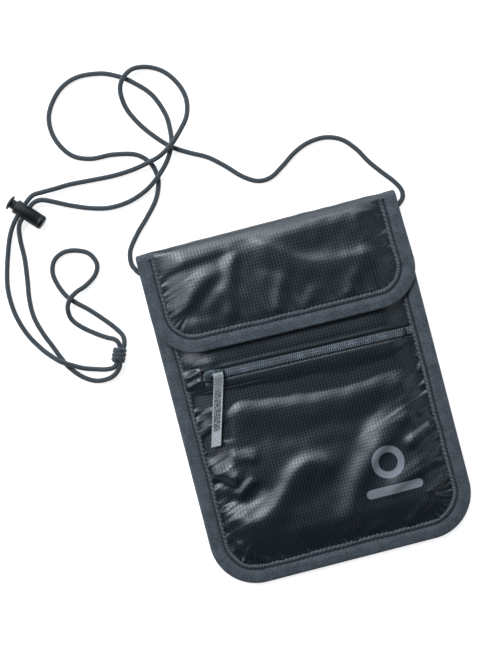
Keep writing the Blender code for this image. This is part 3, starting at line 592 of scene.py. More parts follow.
def puller_material():
    """Woven tape: ribbed by the slider, dark stitching between light edges, and a plain end."""
    s = Shader("puller_weave", (0.3, 0.32, 0.35), 0.75)
    u, v, uv = s.uv()
    side = s.math("ABSOLUTE", v)
    rib = s.wave(u, 1.15 * MM)
    near = s.between(u, 10.6 * MM, 11.2 * MM, 1.0, 0.0)
    far = s.between(u, 33.2 * MM, 33.8 * MM)
    middle = s.minus(s.minus(1.0, near), far, clamp=True)
    rim = s.between(side, 1.75 * MM, 2.2 * MM)
    speck = s.noise(uv, 1500.0, 2.0, 0.6)
    ribs = s.times(
        near, s.times(s.between(rib, 0.35, 0.6, 1.0, 0.0), s.between(side, 1.9 * MM, 2.1 * MM, 1.0, 0.0)),
    )
    stitched = s.times(middle, s.times(s.minus(1.0, rim), s.between(speck, 0.38, 0.6, 1.0, 0.25)))
    dark = s.plus(s.times(ribs, 0.55), stitched, clamp=True)
    plain = s.mix(s.between(speck, 0.3, 0.7), (0.34, 0.355, 0.38), (0.60, 0.61, 0.63))
    s.colour(s.mix(dark, plain, (0.02, 0.024, 0.03)))
    s.bump(s.minus(s.math("MULTIPLY_ADD", speck, 0.5, 0.5), dark), 0.25)
    s.set(Sheen_Weight=0.2)
    return s.material


def fuzz_material(name, colour, scale):
    """Hook or loop tape."""
    s = Shader(name, colour, 0.9)
    place = s.object_place()
    loops = s.noise(place, scale, 3.0, 0.7)
    s.colour(s.mix(s.between(loops, 0.35, 0.7), colour, tuple(c * 3 + 0.005 for c in colour)))
    s.bump(loops, 0.4)
    s.set(Sheen_Weight=0.3)
    return s.material


RIPSTOP_DARK = (0.0028, 0.0080, 0.0122)
RIPSTOP_LIGHT = (0.0122, 0.0240, 0.0325)
ripstop = ripstop_material("ripstop", RIPSTOP_DARK, RIPSTOP_LIGHT)
ripstop_printed = ripstop_material("ripstop_printed", RIPSTOP_DARK, RIPSTOP_LIGHT, (34.0, -50.0))
lining = woven_material("lining_weave", (0.012, 0.015, 0.018), (0.035, 0.040, 0.046), 0.5, 0.65, 0.08, 0.1)
binding = binding_material()
tape_weave = woven_material(
    "zip_tape_weave", (0.008, 0.011, 0.014), (0.045, 0.052, 0.060), 0.7, 0.7, 0.2, 0.1, 1.0,
)
cord_braid = cord_material()
thread = thread_material("seam_thread", (0.07, 0.085, 0.10), (0.26, 0.30, 0.34))
# Near-black thread: painted shade for the stitches that sink into the binding's groove.
shaded_groove_thread = thread_material("groove_thread_painted_shade", (0.006, 0.008, 0.010), (0.022, 0.026, 0.031))
coil_plastic = plastic_material("coil_plastic", (0.15, 0.175, 0.20), 0.35)
lock_plastic = plastic_material("lock_plastic", (0.0045, 0.0065, 0.009), 0.42)
button_plastic = plastic_material("button_plastic", (0.020, 0.024, 0.029), 0.5)
slider_metal = metal_material("slider_metal", (0.055, 0.070, 0.078), 0.38)
spring_steel = metal_material("spring_steel", (0.5, 0.51, 0.53), 0.25)
puller_weave = puller_material()
loop_fuzz = fuzz_material("loop_fuzz", (0.008, 0.009, 0.010), 900.0)
hook_fuzz = fuzz_material("hook_fuzz", (0.006, 0.007, 0.008), 1500.0)


# ---------------------------------------------------------------- cords
def build_cord(name, route, body="pouch"):
    path, length = catmull_rom(route, 0.6)
    points, uvs = tube_arrays(path, CORD_RADIUS, 16)
    strands = np.cos(
        8 * uvs[..., 1] + uvs[..., 0] * 2 * math.pi / 3.0
    ) * np.cos(8 * uvs[..., 1] - uvs[..., 0] * 2 * math.pi / 3.0)
    centre = path[:, None]
    points = centre + (points - centre) * (1 + 0.03 * strands)[..., None]
    obj = grid_piece(name, points, uvs, cord_braid, weld=True)
    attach(obj, body)
    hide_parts(name.replace("_braid", ""))
    return obj, path, length


# Past the CAD's ends the strands run on into the side seam, or into the knot
LEFT_SEAM = ((-73.5, 88.0, 1.95), (-76.6, 90.0, 1.95))
RIGHT_SEAM = ((73.0, 88.2, 1.95), (76.0, 90.4, 1.95))
KNOT_LOW = ((-100.2, 44.6, 4.5), (-99.9, 47.2, 4.6))
left_cord, left_path, left_length = build_cord("neck_cord_left_braid", LEFT_SEAM + LEFT_ROUTE + KNOT_LOW)
right_cord, right_path, right_length = build_cord(
    "neck_cord_right_braid", RIGHT_SEAM + RIGHT_ROUTE + ((-102.0, 43.6, 4.5), (-100.9, 46.4, 4.4)),
)
loop_cord, loop_path, loop_length = build_cord(
    "neck_cord_loop_braid", (
        (-97.8, 48.8, 4.4), (-96.6, 50.9, 4.5),
    ) + LOOP_ROUTE + ((-98.2, 52.4, 4.6), (-98.8, 49.8, 4.6))
)


def build_knot():
    """The overhand knot: the cords' own turns drawn tight, as wraps with one strand across them."""
    turn = Matrix.Rotation(KNOT_ANGLE, 3, "Z")
    along, side = turn @ Vector((1, 0, 0)), turn @ Vector((0, 1, 0))
    paths = []
    t = np.linspace(0, 1, 120)
    angle = -2.2 + t * 2 * math.pi * 3.1
    reach = 2.75 - 0.35 * np.abs(2 * t - 1) ** 4
    axial = -3.6 + 7.2 * t + 0.55 * np.sin(angle)
    paths.append((axial, reach * np.cos(angle), reach * np.sin(angle), 1.42))
    t = np.linspace(0, 1, 50)
    angle = 0.35 + t * 2.5
    paths.append((3.9 - 7.8 * t, 3.35 * np.cos(angle), 3.1 * np.sin(angle) - 0.2, 1.25))
    paths.append((-3.6 + 7.2 * t, 0.4 * np.cos(angle), 0.4 * np.sin(angle), 1.9))
    parts = []
    for axial, out, up, radius in paths:
        path = np.array(KNOT_MIDDLE)[None] + np.outer(axial, along) + np.outer(out, side) + np.outer(
            up, (0, 0, 1),
        )
        ends = np.clip(np.minimum(np.arange(len(path)), np.arange(len(path))[::-1]) / 5.0, 0.02, 1.0)
        parts.append(tube_arrays(path, radius * np.sqrt(ends), 14))
    obj = joined("cord_knot_wraps", parts, cord_braid)
    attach(obj, "pouch")
    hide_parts("cord_knot")
    return obj


knot = build_knot()


# ---------------------------------------------------------------- the folds of the cloth
FRONT_RIDGES = (
    # path, height, width to the left of it, width to the right, share of its length that it fades over
    (((-70, 10), (-40, 7.5), (-20, 4), (0, 2), (20, 0.8), (45, 2.4), (72, 6)), -1.3, 9.0, 5.5, 0.02),
    (((-66, 0), (-44, -1), (-22, -5), (0, -8), (20, -9.4), (45, -8), (72, -4)), 0.85, 6.0, 8.0, 0.2),
    (((2, -92), (6, -76), (12, -62), (23, -49), (35, -38), (46, -30)), 2.5, 8.0, 4.0, 0.3),
    (((22, -50), (35, -38), (47, -28.5), (59, -21), (71, -15)), 1.2, 7.5, 4.0, 0.35),
    (((10, -42), (24, -27), (38, -16), (52, -8)), -0.9, 6.5, 5.0, 0.4),
    (((26, -70), (38, -63), (52, -58), (71, -51)), 1.9, 6.0, 3.2),
    (((44, -46), (56, -40), (70, -33)), 1.5, 4.2, 2.4),
    (((50, -75), (60, -70), (70, -64)), 1.2, 3.6, 2.2),
    (((56, -29), (63, -26), (71, -22)), 0.9, 3.2, 2.0),
    (((34, -90), (46, -81), (56, -76)), 1.2, 3.4, 2.4),
    (((10, -91), (18, -85), (26, -82)), 0.9, 3.0, 2.2),
    (
        (
            (-70, -50), (-61, -61), (-48, -66), (-36, -62), (-27, -53), (-19, -44), (-11, -39.5), (-2, -41),
            (6, -49),
        ),
        2.6, 6.0, 9.0, 0.12,
    ),
    (((-62, -45), (-53, -52), (-44, -50), (-37, -41)), -1.6, 5.0, 4.5),
    (((-55, -50), (-49, -44.5), (-40, -40)), 1.5, 3.0, 2.6),
    (((-70, -30), (-59, -33.5), (-49, -40)), 1.9, 5.0, 3.2, 0.2),
    (((-54, -24), (-45, -26.5), (-36, -31)), 1.0, 4.0, 3.0),
    (((-66, -36), (-58, -40), (-50, -46)), -0.9, 2.6, 2.6),
    (((-43, 17), (-47.5, 3), (-53, -17)), -1.2, 4.0, 3.2, 0.12),
    (((-70, 2.5), (-62, 4.2), (-54, 4.0)), 0.9, 3.4, 2.2),
    (((-70, -9), (-63, -5.5), (-57, -4)), 0.8, 3.4, 2.4),
    (((-42, -92), (-54, -84), (-64, -69)), 0.9, 2.0, 2.0),
    (((-30, -88), (-22, -74), (-20, -60)), 0.8, 7.0, 6.0),
)
FLAP_RIDGES = (
    (((-12, 95), (-1, 85), (11, 75.5), (24, 70), (46, 69), (74, 67)), 1.0, 4.0, 9.0, 0.16),
    (((-18, 94), (-25.5, 79), (-30, 66), (-32.5, 46)), 1.4, 3.6, 5.5, 0.2),
    (((-74, 57), (-61, 61.5), (-51, 68), (-44, 75), (-30, 82)), 1.5, 6.0, 4.2, 0.2),
    (((-48, 56), (-37, 65), (-28, 75)), 0.8, 4.2, 4.0, 0.4),
    (((6, 72), (-2.5, 59), (-6, 42)), 1.0, 3.6, 4.4, 0.35),
    (((50, 67), (38, 55), (32, 41)), 0.9, 3.6, 4.4, 0.35),
    (((22, 62), (13, 52), (8, 42)), 0.6, 3.6, 4.0, 0.4),
    (((52, 98), (62, 91), (74, 83)), 0.9, 2.8, 4.0, 0.2),
    (((-74, 81), (-52, 85), (-34, 86.6), (-14, 89)), -0.8, 3.0, 5.0, 0.14),
    (((4, 80), (30, 79), (66, 78)), -0.5, 8.0, 7.0),
    (((-16, 74), (-4, 69), (8, 64)), 0.45, 3.6, 4.6, 0.4),
    (((-72, 52), (-52, 54), (-36, 51)), 0.5, 3.6, 4.0),
    (((50, 80), (60, 76), (74, 73)), 0.6, 4.0, 3.6),
)


def folds(x, y, ridges):
    return sum(ridge(x, y, *row) for row in ridges)


def puckers(x, y, low_y, corner, height, seed, pitch=6.5, reach=9.0):
    """Short gathers where the stitching draws the cloth in along a round-cornered edge."""
    side = HALF_WIDTH - np.abs(x)
    bottom = y - low_y
    in_corner = (side < corner) & (bottom < corner)
    swing = np.arctan2(corner - bottom, corner - side)
    sign = np.sign(x)
    along_corner = corner * (math.pi / 2 - swing)
    s_corner = sign * (HALF_WIDTH - corner + along_corner)
    s_bottom = x
    s_side = sign * (HALF_WIDTH - corner + corner * math.pi / 2 + np.maximum(bottom - corner, 0))
    along = np.where(in_corner, s_corner, np.where(side < bottom, s_side, s_bottom))
    corner_away = corner - np.hypot(np.maximum(corner - side, 0), np.maximum(corner - bottom, 0))
    away = np.where(in_corner, corner_away, np.minimum(side, bottom)) - (BINDING_WIDTH - 1.5)
    lean = along + 0.35 * away
    wave = ripple(
        lean, lean * 0 + seed, pitch * 0.62, seed,
    ) + 0.5 * ripple(lean, lean * 0, pitch * 0.3, seed + 3)
    length = reach * (1 + 0.7 * ripple(lean, lean * 0, 11.0, seed + 7))
    length = np.maximum(length, 2.5)
    return height * wave * smooth(away / 1.8) * np.exp(-np.maximum(away, 0) / length)


def front_height(x, y):
    """How the front's cloth stands above its even level."""
    calm = smooth((edge_distance(x, y) - 9.8) / 5.0)
    soft = 0.35 * ripple(x, y, 26.0, 2.0) + 0.16 * ripple(x, y, 9.0, 5.0)
    made = calm * (folds(x, y, FRONT_RIDGES) + soft) + puckers(x, y, -HALF_HEIGHT, CORNER, 1.1, 11.0)
    under_puller = smooth((y + 30.0) / 10.0)
    made = made - 0.7 * under_puller * calm
    excess = np.maximum(made - 0.05, 0.0)
    return made - under_puller * (excess - 0.25 * np.tanh(excess / 0.25))


def flap_warp(x, y):
    """The flap's lower edge slopes a little, and its right side stands out past the pouch."""
    low = smooth((97 - y) / 55)
    return x + 1.3 * low * np.clip(x / HALF_WIDTH, 0, 1), y - 0.016 * x * low - 0.9 * low * (
        1 - (x / HALF_WIDTH) ** 2
    )


ROLL_DROP = 2.0


def roll_start(x):
    return 85.0 + 4.0 * smooth((x + 14.0) / 24.0)


def flap_roll(x, y):
    """The flap sinks towards the fold at the top."""
    start = roll_start(x)
    return -ROLL_DROP * np.clip((y - start) / (FLAP_TOP_Y - start), 0, 1) ** 2


def flap_height(x, y):
    side = HALF_WIDTH - np.abs(x)
    calm = smooth((side - 9.8) / 6.0) * smooth((y - FLAP_EDGE_Y - 9.8) / 5.0) * smooth((FLAP_TOP_Y - y) / 5.0)
    soft = 0.3 * ripple(x, y, 24.0, 21.0) + 0.14 * ripple(x, y, 8.0, 25.0)
    gathers = puckers(x, y, FLAP_EDGE_Y, FLAP_CORNER, 0.8, 31.0, 7.0, 8.0)
    lowest = -0.4 - 0.6 * smooth((y - 68.0) / 10.0)
    return calm * np.maximum(folds(x, y, FLAP_RIDGES) + soft, lowest) + gathers * smooth((92 - y) / 12)


def seam_tuck(away, depth):
    """How far a seam draws the cloth down under the binding's lip."""
    return depth * (1 - smooth((away - 9.4) / 1.8))


def sheet_grid(step, low_y, corner, high, inset=SEAM_INSET):
    """Rows of points from an outline's lower edge up to high(x), which may slope. Returns x and y."""
    columns = int(2 * HALF_WIDTH / step)
    share = np.linspace(-1, 1, columns + 1)
    tops = high(share * (HALF_WIDTH - inset))
    base = low_y + inset
    rows = int((tops.max() - base) / step)
    part = np.linspace(0, 1, rows + 1)
    y = base + part[:, None] * (tops[None] - base)
    x = share[None] * half_width(y, low_y, corner, inset)
    return x, y


def roll_under(points, radius, tail, outward):
    """Rows that turn a sheet's last edge down and back under itself.

    outward is +1 if the sheet's rows run up to that edge, else -1.
    """
    last = points[-1]
    rows = []
    for angle in np.linspace(0, math.pi, 8)[1:]:
        row = last.copy()
        row[:, 1] += outward * radius * math.sin(angle)
        row[:, 2] -= radius * (1 - math.cos(angle))
        rows.append(row)
    for share in (0.35, 0.7, 1.0):
        row = rows[6].copy()
        row[:, 1] -= outward * tail * share
        rows.append(row)
    return np.concatenate([points, np.array(rows)])


def flat_uvs(points):
    """Cloth coordinates: across, and the length along each column, so that rolled edges keep their weave."""
    steps = np.linalg.norm(np.diff(points[..., 1:], axis=0), axis=2)
    up = np.concatenate([np.zeros((1, points.shape[1])), np.cumsum(steps, axis=0)])
    return np.stack([points[..., 0], points[0, :, 1][None] + up], axis=2)


def zip_line(x, away=0.0):
    return ZIP_Y + ZIP_SLOPE * x + away


def stack_points(x, y, z):
    return np.stack(np.broadcast_arrays(x, y, z), axis=2).astype(float)


def build_front():
    """The front panel below the zip and the strip above it, each turned under at the zip."""
    x, y = sheet_grid(CLOTH_STEP, -HALF_HEIGHT, CORNER, lambda a: zip_line(a, -ZIP_WINDOW))
    tight = smooth((zip_line(x, -ZIP_WINDOW) - 0.6 - y) / 9.0)
    z = level(FRONT_LEVEL, x, y) + CLOTH * 0.5 + front_height(x, y) * tight
    z = np.maximum(z, level(DIVIDER_LEVEL, x, y) + 1.0) - seam_tuck(edge_distance(x, y), 0.45)
    points = roll_under(stack_points(x, y, z), 0.45, 4.0, 1)
    uvs = flat_uvs(points)
    uvs[: len(y)] = np.stack([x, y], axis=2)
    front = grid_piece("front_pocket_cloth", points, uvs, ripstop_printed, thickness=0.3)
    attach(front, "pouch")
    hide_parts("front_panel")

    columns = int(2 * HALF_WIDTH / CLOTH_STEP)
    share = np.linspace(-1, 1, columns + 1)
    xs = share * (HALF_WIDTH - SEAM_INSET)
    low = zip_line(xs, 3.7)
    part = np.linspace(1, 0, 66)[:, None]
    y = low[None] + part * (MOUTH_Y - 0.2 - low[None])
    x = np.broadcast_to(xs, y.shape)
    lift = 0.25 * ripple(x, y, 20.0, 41.0) + ridge(x, y, ((-66, 35), (-58, 30), (-44, 29)), 0.7, 3.5, 3.5)
    lift = lift + ridge(x, y, ((-20, 31), (20, 29.5), (60, 29)), 0.2, 4.0, 3.5)
    side = smooth((HALF_WIDTH - np.abs(x) - 9.8) / 7.0)
    z = level(FRONT_LEVEL, x, y) + CLOTH * 0.5 + side * lift * smooth((MOUTH_Y - y) / 6)
    z = z + puckers(x, y, -HALF_HEIGHT, CORNER, 0.35, 51.0)
    z = z - 0.35 * (1 - smooth((y - low[None]) / 4.0)) + 0.5 * (1 - smooth((y - low[None]) / 2.5))
    z = np.minimum(z, level(LINING_LEVEL, x, y) - 0.75)
    points = roll_under(stack_points(x, y, z), 0.4, 4.0, -1)
    uvs = flat_uvs(points)
    uvs[: len(y)] = np.stack([x, y], axis=2)
    upper = grid_piece("front_upper_cloth", points, uvs, ripstop, thickness=0.3, flip=True)
    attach(upper, "pouch")
    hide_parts("upper_front_strip")


def build_inner(name, node, pair, top_y, seed, low_limit, high_limit, step=LINING_STEP):
    """A plain sheet inside the pouch, with a gentle wave between two heights."""
    x, y = sheet_grid(step, -HALF_HEIGHT, CORNER, lambda a: a * 0 + top_y)
    wave = np.clip(0.7 * ripple(x, y, 30.0, seed), low_limit, high_limit)
    wave = wave * smooth((edge_distance(x, y) - 9.8) / 10.0)
    z = level(pair, x, y) + CLOTH * 0.5 + wave
    obj = grid_piece(name, stack_points(x, y, z), np.stack([x, y], axis=2), lining, thickness=0.35)
    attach(obj, "pouch")
    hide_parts(node)


def build_flap():
    """The flap's outer cloth, and a lining whose folds are a little lower."""
    for name, node, pair, material, slot, step, fullness in (
        ("flap_cloth", "flap_outer", FLAP_LEVEL, ripstop, "ripstop", CLOTH_STEP, 1.0),
        ("flap_lining_cloth", "flap_lining", LINING_LEVEL, lining, "lining", LINING_STEP, 0.8),
    ):
        x, y = sheet_grid(step, FLAP_EDGE_Y, FLAP_CORNER, lambda a: a * 0 + FLAP_TOP_Y)
        z = level(pair, x, y) + CLOTH * 0.5 + flap_height(x, y) * fullness + flap_roll(x, y) * rise(x, y)
        if slot == "ripstop":
            z = z - seam_tuck(edge_distance(x, y, FLAP_EDGE_Y, FLAP_CORNER), 0.3)
        px, py = flap_warp(x, y)
        obj = grid_piece(
            name, stack_points(px, py, z), np.stack([x, y], axis=2), material, thickness=0.3,
        )
        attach(obj, "flap")
        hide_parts(node)


# ---------------------------------------------------------------- bindings and stitching
def edge_path(low_y, top_y, corner, step=EDGE_STEP):
    """Points down the left edge, round the bottom and up the right, with inward directions and distances."""
    down = np.arange(top_y, low_y + corner, -step)
    left = [(-HALF_WIDTH, y, 1.0, 0.0) for y in down]
    arc = []
    for angle in np.linspace(math.pi, 1.5 * math.pi, int(corner * math.pi / 2 / step)):
        cx, cy = math.cos(angle), math.sin(angle)
        arc.append((corner - HALF_WIDTH + corner * cx, low_y + corner + corner * cy, -cx, -cy))
    bottom = [(x, low_y, 0.0, 1.0) for x in np.arange(corner - HALF_WIDTH + step, 0, step)]
    half = left + arc + bottom
    other = [(-x, y, -nx, ny) for x, y, nx, ny in reversed(half)]
    rows = np.array(half + other)
    lengths = np.concatenate([[0.0], np.cumsum(np.hypot(*np.diff(rows[:, :2], axis=0).T))])
    return rows[:, :2], rows[:, 2:], lengths


# The tape's upper face: its outer part is full, a row of stitches draws it down,
# and a lip stands up past them
BINDING_FACE = (
    (3.0, 0.05), (4.0, 0.25), (5.0, 0.3), (6.0, 0.16), (7.0, -0.2), (7.6, -0.52), (
        GROOVE, -0.68,
    ), (8.5, -0.5),
    (8.9, -0.16), (9.4, 0.0), (9.9, -0.06), (10.3, -0.28), (10.55, -0.66),
)


def binding_section(low, high, wall=0.4, width=BINDING_WIDTH):
    """Section of a folded tape: (distance in, height) round the outside, then back along the inside."""
    radius = (high - low) / 2
    middle = (high + low) / 2
    section = [(width, low + wall / 2), (width - 0.25, low), (7.0, low), (4.0, low)]
    for angle in np.linspace(-math.pi / 2, math.pi / 2, 11):
        section.append((radius - radius * math.cos(angle), middle + radius * math.sin(angle)))
    section += [(across, high + rise_by) for across, rise_by in BINDING_FACE]
    section += [(across - 0.1, high + rise_by - wall) for across, rise_by in BINDING_FACE[-2::-1]]
    inner = radius - wall
    for angle in np.linspace(math.pi / 2, -math.pi / 2, 5):
        section.append((radius - inner * math.cos(angle), middle + inner * math.sin(angle)))
    section += [(7.0, low + wall), (width - 0.25, low + wall), (width, low + wall / 2)]
    return np.array(section)


def section_uv(section):
    return np.concatenate([[0.0], np.cumsum(np.hypot(*np.diff(section, axis=0).T))])


def binding_uv(section):
    """Distance round a binding's section, counted so that it is GROOVE at the groove."""
    around = section_uv(section)
    return around - np.interp(GROOVE, section[15:22, 0], around[15:22]) + GROOVE


def sweep_binding(name, low_y, top_y, corner, levels, lift, node, body, seed, place=None):
    edge, inward, lengths = edge_path(low_y, top_y, corner)
    section = binding_section(*levels)
    wander = 0.3 * ripple(lengths, lengths * 0 + seed, 13.0, seed)
    puff = 0.22 * ripple(
        lengths, lengths * 0 + seed, 8.0, seed + 1,
    ) + 0.16 * ripple(lengths, lengths * 0, 3.0, seed + 2)
    scallop = np.cos(2 * math.pi * lengths / STITCH_PITCH)[:, None]
    across = section[:, 0][None]
    lip = smooth((across - GROOVE) / 0.9)
    reach = across * (1 + wander[:, None] / BINDING_WIDTH * (across > 7.5)) + 0.14 * scallop * lip
    x = edge[:, :1] + inward[:, :1] * reach
    y = edge[:, 1:] + inward[:, 1:] * reach
    swell = np.sin(np.clip(across / BINDING_WIDTH, 0, 1) * math.pi) * puff[:, None] + 0.12 * scallop * lip
    upper = (section[:, 1] > sum(levels) / 2)[None]
    z = section[:, 1][None] + np.where(upper, swell, 0.0)
    z = z + lift * rise(x, y)
    if place:
        x, y = place(x, y)
    uvs = np.stack(np.broadcast_arrays(lengths[:, None], binding_uv(section)[None]), axis=2).copy()
    obj = joined(name, [(stack_points(x, y, z), uvs)], binding)
    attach(obj, body)
    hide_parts(node)
    return obj


def stitch_parts(path, length=2.3, gap=0.6, radius=0.3, sink=0.1):
    """Short raised stitches along a path of points, each a small arched tube."""
    steps = np.linalg.norm(np.diff(path, axis=0), axis=1)
    along = np.concatenate([[0.0], np.cumsum(steps)])
    parts = []
    pitch = length + gap
    for start in np.arange(gap, along[-1] - pitch, pitch):
        t = np.linspace(0, 1, 6)
        at = start + t * length
        line = np.stack([np.interp(at, along, path[:, k]) for k in range(3)], axis=1)
        line[:, 2] += radius * 0.9 * np.sin(t * math.pi) - sink
        radii = radius * np.array([0.35, 0.85, 1.0, 1.0, 0.85, 0.35])
        parts.append(tube_arrays(line, radii, 6))
    return parts


def seam_points(low_y, top_y, corner, reaches, heights, lift, seed, place):
    """Places along a binding: a row of points for each of some distances in from the edge."""
    edge, inward, lengths = edge_path(low_y, top_y, corner)
    wander = 0.3 * ripple(lengths, lengths * 0 + seed, 13.0, seed)
    rows = []
    for reach, height in zip(reaches, heights):
        out = reach * (1 + wander / BINDING_WIDTH)
        x, y = edge[:, 0] + inward[:, 0] * out, edge[:, 1] + inward[:, 1] * out
        z = height + lift * rise(x, y)
        if place:
            x, y = place(x, y)
        rows.append(np.stack([x, y, z], axis=1))
    return rows, lengths


def build_seam(name, low_y, corner, high, lift, body, seed, place=None):
    """Stitches along a binding's groove, in near-black thread as painted shade for the groove, and light
    threads that slant over its lip.
    """
    reaches = (GROOVE, 8.75, 9.4, 10.3, 10.9)
    heights = (high - 0.62, high - 0.3, high + 0.02, high - 0.2, high - 0.85)
    rows, lengths = seam_points(low_y, BINDING_TOP_Y - 2, corner, reaches, heights, lift, seed, place)
    # The groove's stitches take the near-black thread: painted shade.
    groove_shade_stitches = joined(
        name + "_stitches", stitch_parts(rows[0], 1.6, STITCH_PITCH - 1.6, 0.3), shaded_groove_thread,
    )
    parts = []
    for start in np.arange(1.0, lengths[-1] - 3.0, STITCH_PITCH):
        at = start + np.array([0.5, 0.9, 1.4, 1.6])
        line = np.array(
            [[np.interp(s, lengths, row[:, k]) for k in range(3)] for s, row in zip(at, rows[1:])]
        )
        line[0, 2] -= 0.2
        fine = catmull_rom(line, 0.5)[0]
        parts.append(
            tube_arrays(
                fine, np.interp(np.linspace(0, 1, len(fine)), [0, 0.15, 0.85, 1], [0.14, 0.26, 0.26, 0.12]),
                6,
            )
        )
    loops = joined(name + "_threads", parts, thread)
    for obj in (groove_shade_stitches, loops):
        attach(obj, body)


def build_bindings():
    sweep_binding(
        "pouch_binding_tape", -HALF_HEIGHT, BINDING_TOP_Y, CORNER, (0.0, 3.9), 0.0, "body_binding", "pouch",
        71.0,
    )
    sweep_binding(
        "flap_binding_tape", FLAP_EDGE_Y, FLAP_TOP_Y, FLAP_CORNER, (4.2, 6.6), FLAP_RISE, "flap_binding",
        "flap", 81.0, flap_warp,
    )
    build_seam("pouch_seam", -HALF_HEIGHT, CORNER, 3.9, 0.0, "pouch", 71.0)
    build_seam("flap_seam", FLAP_EDGE_Y, FLAP_CORNER, 6.6, FLAP_RISE, "flap", 81.0, flap_warp)


build_front()
build_inner("divider_cloth", "divider_panel", DIVIDER_LEVEL, MOUTH_Y, 3.0, -0.6, 0.4)
build_inner("back_cloth", "back_panel", BACK_LEVEL, BACK_TOP_Y, 4.0, 0.0, 1.2)
build_flap()
build_bindings()


# ---------------------------------------------------------------- the fold at the top
def hermite(first, second, first_way, second_way, t):
    return (
        (2 * t**3 - 3 * t**2 + 1) * first
        + (t**3 - 2 * t**2 + t) * first_way
        + (3 * t**2 - 2 * t**3) * second
        + (t**3 - t**2) * second_way
    )


def build_fold():
    """Cloth round the top, from the back panel to the flap, in two halves that meet at the spine."""
    x = np.linspace(-HALF_WIDTH + SEAM_INSET, HALF_WIDTH - SEAM_INSET, 190)
    half, spine_mid, out_y = 17, (0.0, 0.0995, 0.0056), 100.0
    t = np.linspace(0, 1, half)[:, None]
    low = level(BACK_LEVEL, x, 60.0)[None] + CLOTH * 0.5
    lift = rise(x, 60.0)[None]
    high = level(FLAP_LEVEL, x, 60.0)[None] + CLOTH * 0.5 - ROLL_DROP * lift
    middle = (low + high) / 2
    slope = 2 * ROLL_DROP * lift / (FLAP_TOP_Y - roll_start(x)[None])
    bulge = 0.25 * ripple(x, x * 0, 9.0, 91.0)[None]
    reach = 1.5 * (out_y - FLAP_TOP_Y)
    low_y = hermite(BACK_TOP_Y - 0.4, out_y + bulge, 4.0, 0.0, t)
    low_z = hermite(low, middle, 0.0, 1.4 * (middle - low), t)
    high_y = hermite(out_y + bulge, FLAP_TOP_Y - 0.2, 0.0, -reach, t)
    high_z = hermite(middle, high + 0.2 * slope, 1.4 * (high - middle), reach * slope, t)
    made = []
    for name, y, z, cloth_end in (("lower", low_y, low_z, BACK_TOP_Y), ("upper", high_y, high_z, FLAP_TOP_Y)):
        points = stack_points(np.broadcast_to(x, z.shape), y, z)
        uvs = flat_uvs(points)
        if name == "upper":
            uvs[..., 1] = cloth_end - 0.2 - (uvs[..., 1] - uvs[-1:, :, 1])
        made.append(
            grid_piece("fold_cloth_" + name, points, uvs, ripstop, thickness=0.3, flip=True)
        )
    lower, upper = made
    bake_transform(lower)
    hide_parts("flap_spine")
    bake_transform(upper)


def build_fold_bindings():
    """The binding round the fold's two ends, between the pouch's and the flap's."""
    for side, word in ((-1, "left"), (1, "right")):
        steps = 25
        angle = np.linspace(-math.pi / 2, math.pi / 2, steps)
        share = (angle / math.pi + 0.5)[:, None]
        centre_y = BINDING_TOP_Y - 0.3 * share[:, 0]
        middle_low, middle_high = 1.95, 5.4
        centre_z = (middle_low + middle_high) / 2
        radius = (middle_high - middle_low) / 2
        section = binding_section(-1.0, 1.0, 0.35)
        across = section[:, 0]
        out = section[:, 1]
        outer = 1.95 + (1.2 - 1.95) * share
        inner = outer - 1.1 * np.cos(angle)[:, None] ** 0.5
        reach = np.where(out[None] < 0, -out[None] * outer, -out[None] * inner)
        spread_y = radius * 1.15
        y = centre_y[:, None] + np.cos(angle)[:, None] * (spread_y + reach)
        z = centre_z + np.sin(angle)[:, None] * (radius + reach)
        x = np.broadcast_to(side * (HALF_WIDTH - across), y.shape)
        uvs = np.stack(np.broadcast_arrays((share * 9.0), binding_uv(section)[None]), axis=2).copy()
        points = stack_points(x, y, z)
        half = steps // 2
        low_piece = joined(
            f"fold_binding_{word}_lower", [(points[: half + 1], uvs[: half + 1])], binding,
        )
        high_piece = joined(f"fold_binding_{word}_upper", [(points[half:], uvs[half:])], binding)
        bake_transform(low_piece)
        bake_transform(high_piece)
        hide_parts(f"spine_binding_{word}")


build_fold()
build_fold_bindings()


# ---------------------------------------------------------------- the zip
def zip_place(along, across):
    """From distances along and across the zip to x and y."""
    cos, sin = math.cos(ZIP_ANGLE), math.sin(ZIP_ANGLE)
    return along * cos - across * sin, ZIP_Y + along * sin + across * cos


